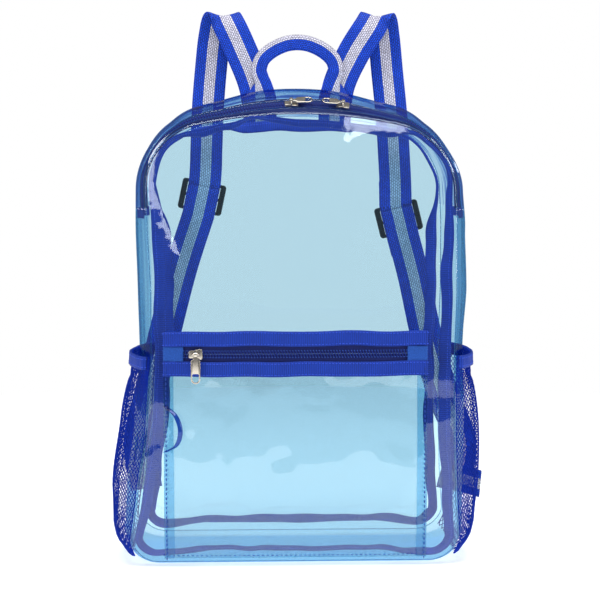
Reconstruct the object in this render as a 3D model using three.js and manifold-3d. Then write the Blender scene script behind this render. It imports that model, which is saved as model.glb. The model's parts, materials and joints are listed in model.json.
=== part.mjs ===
// A clear PVC backpack with blue bindings, zips, net side pockets and webbing straps.
// Millimetres, +Z up, front towards -Y, origin at the middle of its base on the floor.

import * as THREE from "three";
import { mergeVertices } from "three/addons/utils/BufferGeometryUtils.js";
import Module from "manifold-3d";

const wasm = await Module();
wasm.setup();

// Driving sizes of the body
const BODY_WIDTH = 268;
const BODY_HEIGHT = 407;
const BODY_DEPTH = 124;
const TOP_CORNER_RADIUS = 58;
const BASE_CORNER_RADIUS = 22;
const CROWN_ANGLE = THREE.MathUtils.degToRad(12);
const SIDE_BULGE = 20;
const BASE_SAG = 4;
const BASE_FLATNESS = 2.2;
const FRONT_DOME = 7;
const BACK_DOME = 4;
const SHEET = 1.2;
const GAP = 0.3;

// Bound seams
const BINDING_WIDTH = 11;
const BINDING_THICKNESS = 2.4;
const BINDING_INSET = 2;

// Main zip
const ZIP_END_HEIGHT = 322;
const ZIP_SETBACK = 13.5;
const ZIP_TAPE_WIDTH = 9.5;
const ZIP_TAPE_THICKNESS = 1.2;
const ZIP_WINDOW = 11;
const CHAIN_WIDTH = 4.6;
const CHAIN_THICKNESS = 2.2;
const ZIP_END_BAND = 9;
const MAIN_SLIDER_PLACES = { left: -11, right: 34 };
const MAIN_PULL_LENGTH = 19;

// Sliders and pulls
const SLIDER_LENGTH = 12;
const SLIDER_WIDTH = 9.4;
const SLIDER_THICKNESS = 2;
const SLIDER_WAIST = 0.72;
const BRIDGE_SPAN = 6.4;
const BRIDGE_BAR = 0.8;
const BRIDGE_RISE = 2.7;
const KNUCKLE_RADIUS = 2.1;
const KNUCKLE_WIDTH = 3.6;
const PULL_WIDTH = 8.4;
const PULL_THICKNESS = 1.4;
const PULL_LOOP_WALL = 1.9;

// Front pocket
const POCKET_WIDTH = 236;
const POCKET_SHIFT = -8;
const POCKET_ZIP_HEIGHT = 193.5;
const POCKET_BAND = 13.5;
const POCKET_BULGE = 10;
const POCKET_FOOT = 8;
const POCKET_TAPE_REACH = 12.5;
const POCKET_TAPE_THICKNESS = 1;
const POCKET_PULL_LENGTH = 26;
const POCKET_SLIDER_PLACE = -97;
const TAB_LENGTH = 18;
const SEAM_CLEARANCE = 0.9;

// Net side pockets
const NET_HEIGHT = 190;
const NET_FOOT = 12;
const NET_STANDOFF = 14;
const NET_FOOT_LIFT = 2.4;
const NET_THICKNESS = 1.4;
const NET_EDGE = 9;
const NET_COLUMNS = 6;
const NET_ROWS = 10;
const NET_OPEN_SHARE = 0.74;
const NET_BINDING_WIDTH = 12;
const NET_BINDING_THICKNESS = 1.8;
const NET_BINDING_CLEARANCE = 0.5;

// Webbing
const WEBBING_WIDTH = 31;
const WEBBING_THICKNESS = 1.6;
const HANDLE_SPREAD = 71;
const HANDLE_RISE = 82;
const HANDLE_SHIFT = -2;
const HANDLE_FOLD_WIDTH = 13;
const LOCK_WIDTH = 41;
const LOCK_HEIGHT = 30;
const LOCK_THICKNESS = 3.4;
const LOCK_BAR = 3.2;
const LOCK_RAIL = 3.6;
const LOCK_TURN_RADIUS = 3.4;
const STRAP_TAIL = 46;
const STRAP_HEM = 24;

// Colours
const CLEAR_BLUE = "#a9dcec";
const TAPE_BLUE = "#1f3fae";
const ZIP_NAVY = "#16286c";
const TAB_BLUE = "#2f5fc4";
const WEBBING_BLUE = "#1d3da6";
const NET_BLUE = "#2346b4";
const PULL_SILVER = "#c9c4b6";
const BUCKLE_BLACK = "#16181b";

// Share of the body's height against its width and the bulge of its sides
const BODY_FORM = [
  { height: 0.0, width: 1.09, bulge: BASE_SAG / SIDE_BULGE },
  { height: 0.05, width: 1.1, bulge: 0.5 },
  { height: 0.15, width: 1.07, bulge: 0.7 },
  { height: 0.3, width: 1.03, bulge: 0.75 },
  { height: 0.46, width: 1.015, bulge: 0.65 },
  { height: 0.6, width: 1.02, bulge: 0.75 },
  { height: 0.75, width: 1.03, bulge: 0.66 },
  { height: 0.83, width: 1.03, bulge: 0.58 },
  { height: 0.91, width: 1.02, bulge: 0.5 },
  { height: 0.955, width: 1.015, bulge: 0.58 },
  { height: 0.985, width: 1.01, bulge: 0.86 },
  { height: 1.0, width: 1.0, bulge: 1.18 },
];

// Share of the body's depth against the share of the bulge reached there
const GUSSET_PROFILE = [
  { depth: 0.0, bulge: 0.0 },
  { depth: 0.06, bulge: 0.2 },
  { depth: 0.16, bulge: 0.5 },
  { depth: 0.29, bulge: 0.86 },
  { depth: 0.4, bulge: 1.0 },
  { depth: 0.6, bulge: 1.0 },
  { depth: 0.71, bulge: 0.88 },
  { depth: 0.88, bulge: 0.48 },
  { depth: 1.0, bulge: 0.0 },
];

// Soft dents of the front sheet: place and reach as shares of the half width and the height
const FRONT_DENTS = [
  { across: -0.72, height: 0.84, reach: 0.3, depth: 0.45 },
  { across: 0.5, height: 0.86, reach: 0.24, depth: 0.35 },
  { across: 0.25, height: 0.62, reach: 0.3, depth: 0.3 },
  { across: -0.35, height: 0.68, reach: 0.26, depth: 0.25 },
];

// How far the front binding hangs inside its seam, along half of the outline from the base
const BINDING_HANG = [
  { along: 0.0, hang: 1.0 },
  { along: 0.3, hang: 1.0 },
  { along: 0.62, hang: 0.5 },
  { along: 0.76, hang: 1.8 },
  { along: 0.9, hang: 1.6 },
  { along: 1.0, hang: 0.9 },
];

// Strap routes: across as a share of the half width, behind the back seam as a share of
// the depth, height as a share of the body's height
const UPPER_STRAP_ROUTES = {
  left: [
    { across: -0.28, behind: 0.044, height: 0.975 },
    { across: -0.32, behind: 0.046, height: 1.07 },
    { across: -0.42, behind: 0.046, height: 1.155 },
    { across: -0.505, behind: 0.05, height: 1.215 },
    { across: -0.54, behind: 0.09, height: 1.235 },
    { across: -0.58, behind: 0.14, height: 1.228 },
    { across: -0.61, behind: 0.18, height: 1.19 },
    { across: -0.635, behind: 0.18, height: 1.12 },
    { across: -0.66, behind: 0.15, height: 1.02 },
    { across: -0.672, behind: 0.12, height: 0.92 },
    { across: -0.677, behind: 0.115, height: 0.875 },
  ],
  right: [
    { across: 0.25, behind: 0.044, height: 0.975 },
    { across: 0.28, behind: 0.046, height: 1.07 },
    { across: 0.39, behind: 0.046, height: 1.15 },
    { across: 0.505, behind: 0.05, height: 1.21 },
    { across: 0.555, behind: 0.09, height: 1.235 },
    { across: 0.59, behind: 0.14, height: 1.228 },
    { across: 0.615, behind: 0.18, height: 1.19 },
    { across: 0.64, behind: 0.18, height: 1.11 },
    { across: 0.672, behind: 0.15, height: 1.0 },
    { across: 0.69, behind: 0.12, height: 0.9 },
    { across: 0.7, behind: 0.115, height: 0.835 },
  ],
};
const LOCK_PLACES = {
  left: { across: -0.705, behind: 0.12, height: 0.81, tilt: 12 },
  right: { across: 0.725, behind: 0.12, height: 0.757, tilt: -14 },
};
const LOWER_STRAP_ROUTES = {
  left: [
    { across: -0.857, behind: 0.11, height: 0.64 },
    { across: -0.98, behind: 0.1, height: 0.485 },
    { across: -1.06, behind: 0.09, height: 0.32 },
    { across: -1.09, behind: 0.07, height: 0.17 },
    { across: -1.07, behind: 0.045, height: 0.08 },
  ],
  right: [
    { across: 0.835, behind: 0.11, height: 0.62 },
    { across: 0.935, behind: 0.1, height: 0.47 },
    { across: 1.06, behind: 0.09, height: 0.33 },
    { across: 1.19, behind: 0.07, height: 0.21 },
    { across: 1.12, behind: 0.045, height: 0.1 },
  ],
};

// Reads one column of a table at a share, smoothly between its rows
function readTable(table, key, share, column) {
  const last = table.length - 1;
  if (share <= table[0][key]) return table[0][column];
  if (share >= table[last][key]) return table[last][column];
  const next = table.findIndex((row) => row[key] > share);
  const low = table[next - 1];
  const high = table[next];
  const part = (share - low[key]) / (high[key] - low[key]);
  const eased = part * part * (3 - 2 * part);
  return low[column] + (high[column] - low[column]) * (part + eased) * 0.5;
}

function material(name, color, roughness, metalness) {
  const made = new THREE.MeshStandardMaterial({ color, roughness, metalness });
  made.name = name;
  return made;
}

function namedMesh(name, geometry, color, roughness = 0.8, metalness = 0) {
  const mesh = new THREE.Mesh(geometry, material(`${name}_finish`, color, roughness, metalness));
  mesh.name = name;
  return mesh;
}

// The body's outline

function outlinePath() {
  const half = BODY_WIDTH / 2;
  const crownRadius = TOP_CORNER_RADIUS + (half - TOP_CORNER_RADIUS) / Math.sin(CROWN_ANGLE);
  const reach = crownRadius - TOP_CORNER_RADIUS;
  const shoulder = BODY_HEIGHT - crownRadius + reach * Math.cos(CROWN_ANGLE);
  const footInset = half - BASE_CORNER_RADIUS;
  const footRise = BASE_SAG + BASE_CORNER_RADIUS;
  const path = new THREE.Path();
  path.moveTo(0, BASE_SAG);
  path.lineTo(footInset, BASE_SAG);
  path.absarc(footInset, footRise, BASE_CORNER_RADIUS, -Math.PI / 2, 0, false);
  path.lineTo(half, shoulder);
  path.absarc(half - TOP_CORNER_RADIUS, shoulder, TOP_CORNER_RADIUS, 0, Math.PI / 2 - CROWN_ANGLE, false);
  path.absarc(0, BODY_HEIGHT - crownRadius, crownRadius, Math.PI / 2 - CROWN_ANGLE, Math.PI / 2, false);
  return path;
}

const OUTLINE = outlinePath();

function outlineSpot(along) {
  const flat = OUTLINE.getPointAt(Math.min(Math.max(along, 0), 1));
  const share = (flat.y - BASE_SAG) / (BODY_HEIGHT - BASE_SAG);
  const width = readTable(BODY_FORM, "height", share, "width");
  return { x: flat.x * width, z: flat.y, share };
}

function outlineStation(along, side) {
  const step = 0.002;
  const spot = outlineSpot(along);
  const before = outlineSpot(along - step);
  const after = outlineSpot(along + step);
  const dx = after.x - before.x;
  const dz = after.z - before.z;
  const length = Math.hypot(dx, dz);
  const level = along < step || along > 1 - step;
  const nx = level ? 0 : (side * dz) / length;
  const nz = level ? Math.sign(along - 0.5) : -dx / length;
  return {
    along,
    x: side * spot.x,
    z: spot.z,
    nx,
    nz,
    bulge: SIDE_BULGE * readTable(BODY_FORM, "height", spot.share, "bulge"),
    fullness: 1 + BASE_FLATNESS * THREE.MathUtils.smoothstep(-nz, 0.4, 1),
  };
}

// Places along half of the outline, closer together where it turns
function halfStops() {
  const samples = 600;
  const widestTurn = THREE.MathUtils.degToRad(15);
  const widestStep = 34;
  const stops = [0];
  let last = outlineStation(0, 1);
  for (let i = 1; i < samples; i += 1) {
    const here = outlineStation(i / samples, 1);
    const turn = Math.acos(Math.min(1, here.nx * last.nx + here.nz * last.nz));
    const travelled = Math.hypot(here.x - last.x, here.z - last.z);
    if (turn > widestTurn || travelled > widestStep) {
      stops.push(here.along);
      last = here;
    }
  }
  stops.push(1);
  return stops;
}

function alongAtHeight(height) {
  let low = 0;
  let high = 1;
  for (let i = 0; i < 40; i += 1) {
    const middle = (low + high) / 2;
    if (outlineSpot(middle).z < height) low = middle;
    else high = middle;
  }
  return low;
}

const ZIP_END = alongAtHeight(ZIP_END_HEIGHT);
const ZIP_END_BAND_FOOT = alongAtHeight(ZIP_END_HEIGHT - ZIP_END_BAND);

// The whole outline as one loop from the middle of the base, up the right side and down the left
function loopStations() {
  const nearZip = 0.02;
  const stops = halfStops().filter((stop) => Math.abs(stop - ZIP_END) > nearZip);
  stops.push(ZIP_END, ZIP_END_BAND_FOOT);
  stops.sort((a, b) => a - b);
  const right = stops.map((stop) => outlineStation(stop, 1));
  const left = stops.slice(1, -1).reverse().map((stop) => outlineStation(stop, -1));
  return [...right, ...left];
}

const LOOP = loopStations();
const OUTLINE_CENTRE = { x: 0, z: BODY_HEIGHT * 0.5 };

function upperStations() {
  return LOOP.filter((station) => station.along >= ZIP_END - 1e-6);
}

function lowerStations() {
  const right = LOOP.filter((station) => station.along <= ZIP_END + 1e-6 && station.x >= 0);
  const left = LOOP.filter((station) => station.along <= ZIP_END + 1e-6 && station.x < 0);
  return [...left, ...right];
}

// Share of the way from the outline's centre to its rim
function rimShare(x, z) {
  const px = x - OUTLINE_CENTRE.x;
  const pz = z - OUTLINE_CENTRE.z;
  for (let i = 0; i < LOOP.length; i += 1) {
    const a = LOOP[i];
    const b = LOOP[(i + 1) % LOOP.length];
    const ax = a.x - OUTLINE_CENTRE.x;
    const az = a.z - OUTLINE_CENTRE.z;
    const bx = b.x - OUTLINE_CENTRE.x;
    const bz = b.z - OUTLINE_CENTRE.z;
    const whole = ax * bz - az * bx;
    const towardsA = (px * bz - pz * bx) / whole;
    const towardsB = (ax * pz - az * px) / whole;
    if (towardsA >= -1e-9 && towardsB >= -1e-9) return towardsA + towardsB;
  }
  return 0;
}

// How far the front sheet stands forward of its seam
function frontRise(x, z) {
  const share = Math.min(rimShare(x, z), 1);
  const dome = FRONT_DOME * (1 - share ** 2.4);
  const half = BODY_WIDTH / 2;
  const dents = FRONT_DENTS.map((dent) => {
    const dx = (x - dent.across * half) / (dent.reach * half);
    const dz = (z - dent.height * BODY_HEIGHT) / (dent.reach * half);
    return dent.depth * FRONT_DOME * Math.exp(-(dx * dx + dz * dz));
  });
  const sunk = dents.reduce((sum, depth) => sum + depth, 0);
  return dome - sunk * Math.min(1, 4 * (1 - share));
}

function frontFace(x, z) {
  return -BODY_DEPTH / 2 - SHEET - frontRise(x, z);
}

// Closed solids

function triangles(points, faces) {
  const geometry = new THREE.BufferGeometry();
  const flat = points.flatMap((point) => [point.x, point.y, point.z]);
  geometry.setAttribute("position", new THREE.Float32BufferAttribute(flat, 3));
  geometry.setIndex(faces.flat());
  if (signedVolume(points, faces) < 0) {
    geometry.setIndex(faces.map(([a, b, c]) => [a, c, b]).flat());
  }
  geometry.computeVertexNormals();
  return geometry;
}

function signedVolume(points, faces) {
  const sum = faces.reduce((total, [a, b, c]) => {
    const cross = new THREE.Vector3().crossVectors(points[b], points[c]);
    return total + points[a].dot(cross);
  }, 0);
  return sum / 6;
}

// A wall between two grids of points, closed along its rims or, where it runs round, in a ring
function wallSolid(outer, inner, ring = false) {
  const rows = outer.length;
  const columns = outer[0].length;
  const points = [...outer.flat(), ...inner.flat()];
  const back = rows * columns;
  const at = (row, column) => (row % rows) * columns + column;
  const faces = [];
  const quad = (a, b, c, d) => faces.push([a, b, c], [a, c, d]);
  const rowSteps = ring ? rows : rows - 1;
  for (let row = 0; row < rowSteps; row += 1) {
    for (let column = 0; column < columns - 1; column += 1) {
      const corners = [at(row, column), at(row, column + 1), at(row + 1, column + 1), at(row + 1, column)];
      const [a, b, c, d] = corners;
      quad(a, b, c, d);
      quad(back + d, back + c, back + b, back + a);
    }
    const end = columns - 1;
    quad(at(row, 0), at(row + 1, 0), back + at(row + 1, 0), back + at(row, 0));
    quad(at(row + 1, end), at(row, end), back + at(row, end), back + at(row + 1, end));
  }
  if (!ring) {
    for (let column = 0; column < columns - 1; column += 1) {
      const last = rows - 1;
      quad(at(0, column + 1), at(0, column), back + at(0, column), back + at(0, column + 1));
      quad(at(last, column), at(last, column + 1), back + at(last, column + 1), back + at(last, column));
    }
  }
  return triangles(points, faces);
}

// A sheet that fills the outline: rings of points from its rim to its middle
function discSolid(outerAt, innerAt, shares) {
  const rings = (spotAt) => shares.flatMap((share) => LOOP.map((station) => {
    const x = OUTLINE_CENTRE.x + (station.x - OUTLINE_CENTRE.x) * share;
    const z = OUTLINE_CENTRE.z + (station.z - OUTLINE_CENTRE.z) * share;
    return spotAt(x, z);
  }));
  const middle = (spotAt) => spotAt(OUTLINE_CENTRE.x, OUTLINE_CENTRE.z);
  const outer = [...rings(outerAt), middle(outerAt)];
  const inner = [...rings(innerAt), middle(innerAt)];
  const around = LOOP.length;
  const back = outer.length;
  const centre = around * shares.length;
  const faces = [];
  const at = (ring, i) => ring * around + (i % around);
  for (let i = 0; i < around; i += 1) {
    for (let ring = 0; ring < shares.length - 1; ring += 1) {
      const [a, b, c, d] = [at(ring, i), at(ring, i + 1), at(ring + 1, i + 1), at(ring + 1, i)];
      faces.push([a, b, c], [a, c, d], [back + a, back + c, back + b], [back + a, back + d, back + c]);
    }
    const [a, b] = [at(shares.length - 1, i), at(shares.length - 1, i + 1)];
    faces.push([a, b, centre], [back + b, back + a, back + centre]);
    const [c, d] = [at(0, i), at(0, i + 1)];
    faces.push([c, back + c, back + d], [c, back + d, d]);
  }
  return triangles([...outer, ...inner], faces);
}

function asManifold(geometry) {
  const bare = geometry.clone();
  bare.deleteAttribute("normal");
  bare.deleteAttribute("uv");
  const merged = mergeVertices(bare, 1e-4);
  return new wasm.Manifold(new wasm.Mesh({
    numProp: 3,
    vertProperties: new Float32Array(merged.attributes.position.array),
    triVerts: new Uint32Array(merged.index.array),
  }));
}

function joined(geometries) {
  const solids = geometries.map(asManifold);
  const whole = solids.reduce((sum, solid) => sum.add(solid));
  const mesh = whole.getMesh();
  const geometry = new THREE.BufferGeometry();
  geometry.setAttribute("position", new THREE.BufferAttribute(new Float32Array(mesh.vertProperties), 3));
  geometry.setIndex(new THREE.BufferAttribute(new Uint32Array(mesh.triVerts), 1));
  geometry.computeVertexNormals();
  return geometry;
}

// Panels and gussets

const PANEL_RINGS = [1, 0.93, 0.82, 0.62, 0.34];

function frontPanel() {
  const outerAt = (x, z) => new THREE.Vector3(x, frontFace(x, z), z);
  const innerAt = (x, z) => new THREE.Vector3(x, frontFace(x, z) + SHEET, z);
  return namedMesh("front_panel", discSolid(outerAt, innerAt, PANEL_RINGS), CLEAR_BLUE, 0.1);
}

function backFace(x, z) {
  return BODY_DEPTH / 2 + BACK_DOME * (1 - Math.min(rimShare(x, z), 1) ** 3);
}

function backPanel() {
  const innerAt = (x, z) => new THREE.Vector3(x, backFace(x, z), z);
  const outerAt = (x, z) => new THREE.Vector3(x, backFace(x, z) + SHEET, z);
  const rings = PANEL_RINGS.filter((share) => share !== PANEL_RINGS[1]);
  return namedMesh("back_panel", discSolid(outerAt, innerAt, rings), CLEAR_BLUE, 0.1);
}

// The gusset's bulge at a share of its depth, reached sooner where the base lies flat
function bulgeAt(station, share) {
  const reached = readTable(GUSSET_PROFILE, "depth", share, "bulge");
  return station.bulge * Math.min(1, reached * station.fullness);
}

// A point of the gusset: depth behind the front seam, raised outward from its outer face
function gussetSpot(station, depth, raised = 0) {
  const share = depth / BODY_DEPTH;
  const bulge = bulgeAt(station, share);
  const step = 0.01;
  const low = Math.max(share - step, 0);
  const high = Math.min(share + step, 1);
  const slope = (bulgeAt(station, high) - bulgeAt(station, low)) / (BODY_DEPTH * (high - low));
  const scale = raised / Math.hypot(1, slope);
  return new THREE.Vector3(
    station.x + station.nx * (bulge + scale),
    -BODY_DEPTH / 2 + depth - slope * scale,
    station.z + station.nz * (bulge + scale),
  );
}

function gussetStrip(stations, depths, top, thickness) {
  const outer = stations.map((station) => depths.map((depth) => gussetSpot(station, depth, top)));
  const under = top - thickness;
  const inner = stations.map((station) => depths.map((depth) => gussetSpot(station, depth, under)));
  return wallSolid(outer, inner);
}

function depthsBetween(from, to) {
  const inside = GUSSET_PROFILE.map((row) => row.depth * BODY_DEPTH);
  const clear = 3;
  return [from, ...inside.filter((depth) => depth > from + clear && depth < to - clear), to];
}

function lowerGusset() {
  const depths = depthsBetween(GAP, BODY_DEPTH - GAP);
  return namedMesh("lower_gusset", gussetStrip(lowerStations(), depths, 0, SHEET), CLEAR_BLUE, 0.1);
}

// Stations over the top, ending a little above the seams at the zip's ends
function zipStations() {
  const stations = upperStations();
  const trim = ZIP_END + GAP / OUTLINE.getLength();
  return stations.map((station) => {
    if (station.along > trim) return station;
    return outlineStation(trim, Math.sign(station.x));
  });
}

const ZIP_TAPE_EDGE = CHAIN_WIDTH / 2 + GAP;

function zipGussets() {
  const stations = zipStations();
  const windowFront = ZIP_SETBACK - ZIP_WINDOW / 2;
  const windowRear = ZIP_SETBACK + ZIP_WINDOW / 2;
  const front = gussetStrip(stations, depthsBetween(GAP, windowFront), 0, SHEET);
  const tapeEdge = ZIP_SETBACK + ZIP_TAPE_EDGE + ZIP_TAPE_WIDTH;
  const rearDepths = [windowRear, ...depthsBetween(tapeEdge, BODY_DEPTH - GAP)];
  const rear = gussetStrip(stations, rearDepths, 0, SHEET);
  return [
    namedMesh("zip_gusset_front", front, CLEAR_BLUE, 0.1),
    namedMesh("zip_gusset_rear", rear, CLEAR_BLUE, 0.1),
  ];
}

function mainZip() {
  const stations = zipStations();
  const tapeTop = -SHEET - GAP;
  const chainTop = tapeTop + (CHAIN_THICKNESS - ZIP_TAPE_THICKNESS) / 2;
  const farEdge = ZIP_TAPE_EDGE + ZIP_TAPE_WIDTH;
  const window = ZIP_WINDOW / 2;
  const strip = (offsets, top, thickness) =>
    gussetStrip(stations, offsets.map((offset) => ZIP_SETBACK + offset), top, thickness);
  const half = CHAIN_WIDTH / 2;
  const front = strip([-farEdge, -window, -ZIP_TAPE_EDGE], tapeTop, ZIP_TAPE_THICKNESS);
  const rear = strip([ZIP_TAPE_EDGE, window, farEdge], tapeTop, ZIP_TAPE_THICKNESS);
  return [
    namedMesh("main_zip_tape_front", front, ZIP_NAVY),
    namedMesh("main_zip_tape_rear", rear, ZIP_NAVY),
    namedMesh("main_zip_chain", strip([-half, half], chainTop, CHAIN_THICKNESS), ZIP_NAVY, 0.4),
  ];
}

// Bands inside the seams where the zip ends, across the gusset
function zipEndBinding(side) {
  const reach = [ZIP_END, ZIP_END_BAND_FOOT].map((along) => outlineStation(along, side));
  const inset = BINDING_WIDTH + BINDING_INSET * 2;
  const depths = depthsBetween(inset, BODY_DEPTH - inset);
  return gussetStrip(reach, depths, -SHEET - GAP, ZIP_TAPE_THICKNESS);
}

function zipEndBindings() {
  return [
    namedMesh("zip_end_binding_left", zipEndBinding(-1), TAPE_BLUE),
    namedMesh("zip_end_binding_right", zipEndBinding(1), TAPE_BLUE),
  ];
}

// A binding: a band inside the outline, standing inward from the seam and leaning into the bag
function seamBinding(nearSeam, lean, hangTable) {
  const edge = (station, inset, depth) => new THREE.Vector3(
    station.x - station.nx * inset,
    depth,
    station.z - station.nz * inset,
  );
  const outer = LOOP.map((station) => {
    const hang = hangTable ? readTable(hangTable, "along", station.along, "hang") : 1;
    const from = BINDING_INSET * hang + SHEET;
    return [edge(station, from, nearSeam), edge(station, from + BINDING_WIDTH, nearSeam + lean)];
  });
  const inner = LOOP.map((station, i) => outer[i].map((point) =>
    new THREE.Vector3(point.x, point.y + Math.sign(lean) * BINDING_THICKNESS, point.z)));
  return wallSolid(outer, inner, true);
}

function bindings() {
  const lean = 3;
  const front = seamBinding(-BODY_DEPTH / 2 + GAP, lean, BINDING_HANG);
  const back = seamBinding(BODY_DEPTH / 2 - GAP, -lean, null);
  return [
    namedMesh("front_binding", front, TAPE_BLUE),
    namedMesh("back_binding", back, TAPE_BLUE),
  ];
}

// Front pocket

function shares(count) {
  return Array.from({ length: count }, (_, i) => i / (count - 1));
}

// A patch on the front sheet, lifted off it by a clearance and, within it, by a rise
function frontPatch(size, lifted, thickness, riseAt = () => 0) {
  const grid = (extra) => size.rows.map((up) => shares(size.columns).map((across) => {
    const x = THREE.MathUtils.lerp(size.left, size.right, across);
    const z = THREE.MathUtils.lerp(size.bottom, size.top, up);
    return new THREE.Vector3(x, frontFace(x, z) - lifted - extra - riseAt(across, up), z);
  }));
  return wallSolid(grid(thickness), grid(0));
}

const POCKET_LEFT = POCKET_SHIFT - POCKET_WIDTH / 2;
const POCKET_RIGHT = POCKET_SHIFT + POCKET_WIDTH / 2;
const POCKET_MOUTH = POCKET_ZIP_HEIGHT - POCKET_TAPE_REACH - GAP;
const POCKET_BAND_LIFT = SEAM_CLEARANCE + SHEET + GAP;

function pocketPanel() {
  const flatTop = 0.12;
  const size = {
    left: POCKET_LEFT, right: POCKET_RIGHT, bottom: POCKET_FOOT, top: POCKET_MOUTH,
    columns: 9, rows: [0, 0.05, 0.15, 0.32, 0.5, 0.68, 0.8, 1 - flatTop, 1],
  };
  const riseAt = (across, up) => {
    const sideways = 1 - Math.abs(2 * across - 1) ** 4;
    const level = Math.min(up / (1 - flatTop), 1);
    return POCKET_BULGE * sideways * Math.sin(Math.PI * level ** 0.8) ** 0.7;
  };
  const geometry = frontPatch(size, SEAM_CLEARANCE, SHEET, riseAt);
  return namedMesh("pocket_panel", geometry, CLEAR_BLUE, 0.1);
}

function pocketBand(name, bottom, top, left, right, lifted, thickness, color) {
  const widestStep = 34;
  const columns = Math.max(2, Math.round((right - left) / widestStep));
  const size = { left, right, bottom, top, columns, rows: [0, 1] };
  return namedMesh(name, frontPatch(size, lifted, thickness), color);
}

function pocketTrim() {
  const zip = POCKET_ZIP_HEIGHT;
  const half = POCKET_BAND / 2;
  const tapeEdges = [zip + ZIP_TAPE_EDGE, zip + POCKET_TAPE_REACH];
  const lowEdges = [zip - POCKET_TAPE_REACH, zip - ZIP_TAPE_EDGE];
  const chainLift = SEAM_CLEARANCE - (CHAIN_THICKNESS - POCKET_TAPE_THICKNESS) / 2;
  const chainHalf = CHAIN_WIDTH / 2;
  const left = POCKET_LEFT;
  const right = POCKET_RIGHT;
  const tape = POCKET_TAPE_THICKNESS;
  const lift = SEAM_CLEARANCE;
  const tabLift = chainLift + CHAIN_THICKNESS + GAP;
  const tabTop = zip + half - GAP;
  const tabFoot = zip - half + GAP;
  const bound = ZIP_TAPE_THICKNESS;
  return [
    pocketBand("pocket_zip_tape_upper", tapeEdges[0], tapeEdges[1], left, right, lift, tape, ZIP_NAVY),
    pocketBand("pocket_zip_tape_lower", lowEdges[0], lowEdges[1], left, right, lift, tape, ZIP_NAVY),
    pocketBand("pocket_zip_chain", zip - chainHalf, zip + chainHalf, left, right, chainLift,
      CHAIN_THICKNESS, ZIP_NAVY),
    pocketBand("pocket_upper_binding", zip + half, zip + half + POCKET_BAND, left, right,
      POCKET_BAND_LIFT, bound, TAPE_BLUE),
    pocketBand("pocket_lower_binding", zip - half - POCKET_BAND, zip - half, left, right,
      POCKET_BAND_LIFT, bound, TAPE_BLUE),
    pocketBand("pocket_zip_tab_left", tabFoot, tabTop, left, left + TAB_LENGTH, tabLift,
      bound, TAB_BLUE),
    pocketBand("pocket_zip_tab_right", tabFoot, tabTop, right - TAB_LENGTH, right, tabLift,
      bound, TAB_BLUE),
  ];
}

// Sliders and pulls, made lying on the XY plane: the zip runs along X and the bridge's bar along Y

function extruded(shape, depth, curveSegments = 5) {
  return new THREE.ExtrudeGeometry(shape, { depth, bevelEnabled: false, curveSegments });
}

function sliderPlate() {
  const half = SLIDER_LENGTH / 2;
  const wide = SLIDER_WIDTH / 2;
  const shape = new THREE.Shape();
  shape.moveTo(-half, -wide * SLIDER_WAIST);
  shape.lineTo(0, -wide * SLIDER_WAIST);
  shape.quadraticCurveTo(half * 0.5, -wide, half * 0.6, -wide);
  shape.lineTo(half, -wide * SLIDER_WAIST);
  shape.lineTo(half, wide * SLIDER_WAIST);
  shape.lineTo(half * 0.6, wide);
  shape.quadraticCurveTo(half * 0.5, wide, 0, wide * SLIDER_WAIST);
  shape.lineTo(-half, wide * SLIDER_WAIST);
  shape.closePath();
  return extruded(shape, SLIDER_THICKNESS);
}

const PULL_AXIS_RISE = SLIDER_THICKNESS + BRIDGE_RISE;

function sliderGeometry(barAlongZip) {
  const bar = new THREE.CylinderGeometry(BRIDGE_BAR, BRIDGE_BAR, BRIDGE_SPAN, 8);
  bar.translate(0, 0, PULL_AXIS_RISE);
  const postHeight = PULL_AXIS_RISE - SLIDER_THICKNESS / 2;
  const posts = [-1, 1].map((side) => {
    const post = new THREE.BoxGeometry(BRIDGE_BAR * 2, BRIDGE_BAR * 1.5, postHeight);
    post.translate(0, (side * (BRIDGE_SPAN - BRIDGE_BAR * 1.5)) / 2, PULL_AXIS_RISE - postHeight / 2);
    return post;
  });
  const bridge = [bar, ...posts];
  if (barAlongZip) bridge.forEach((piece) => piece.rotateZ(Math.PI / 2));
  return joined([sliderPlate(), ...bridge]);
}

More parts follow.
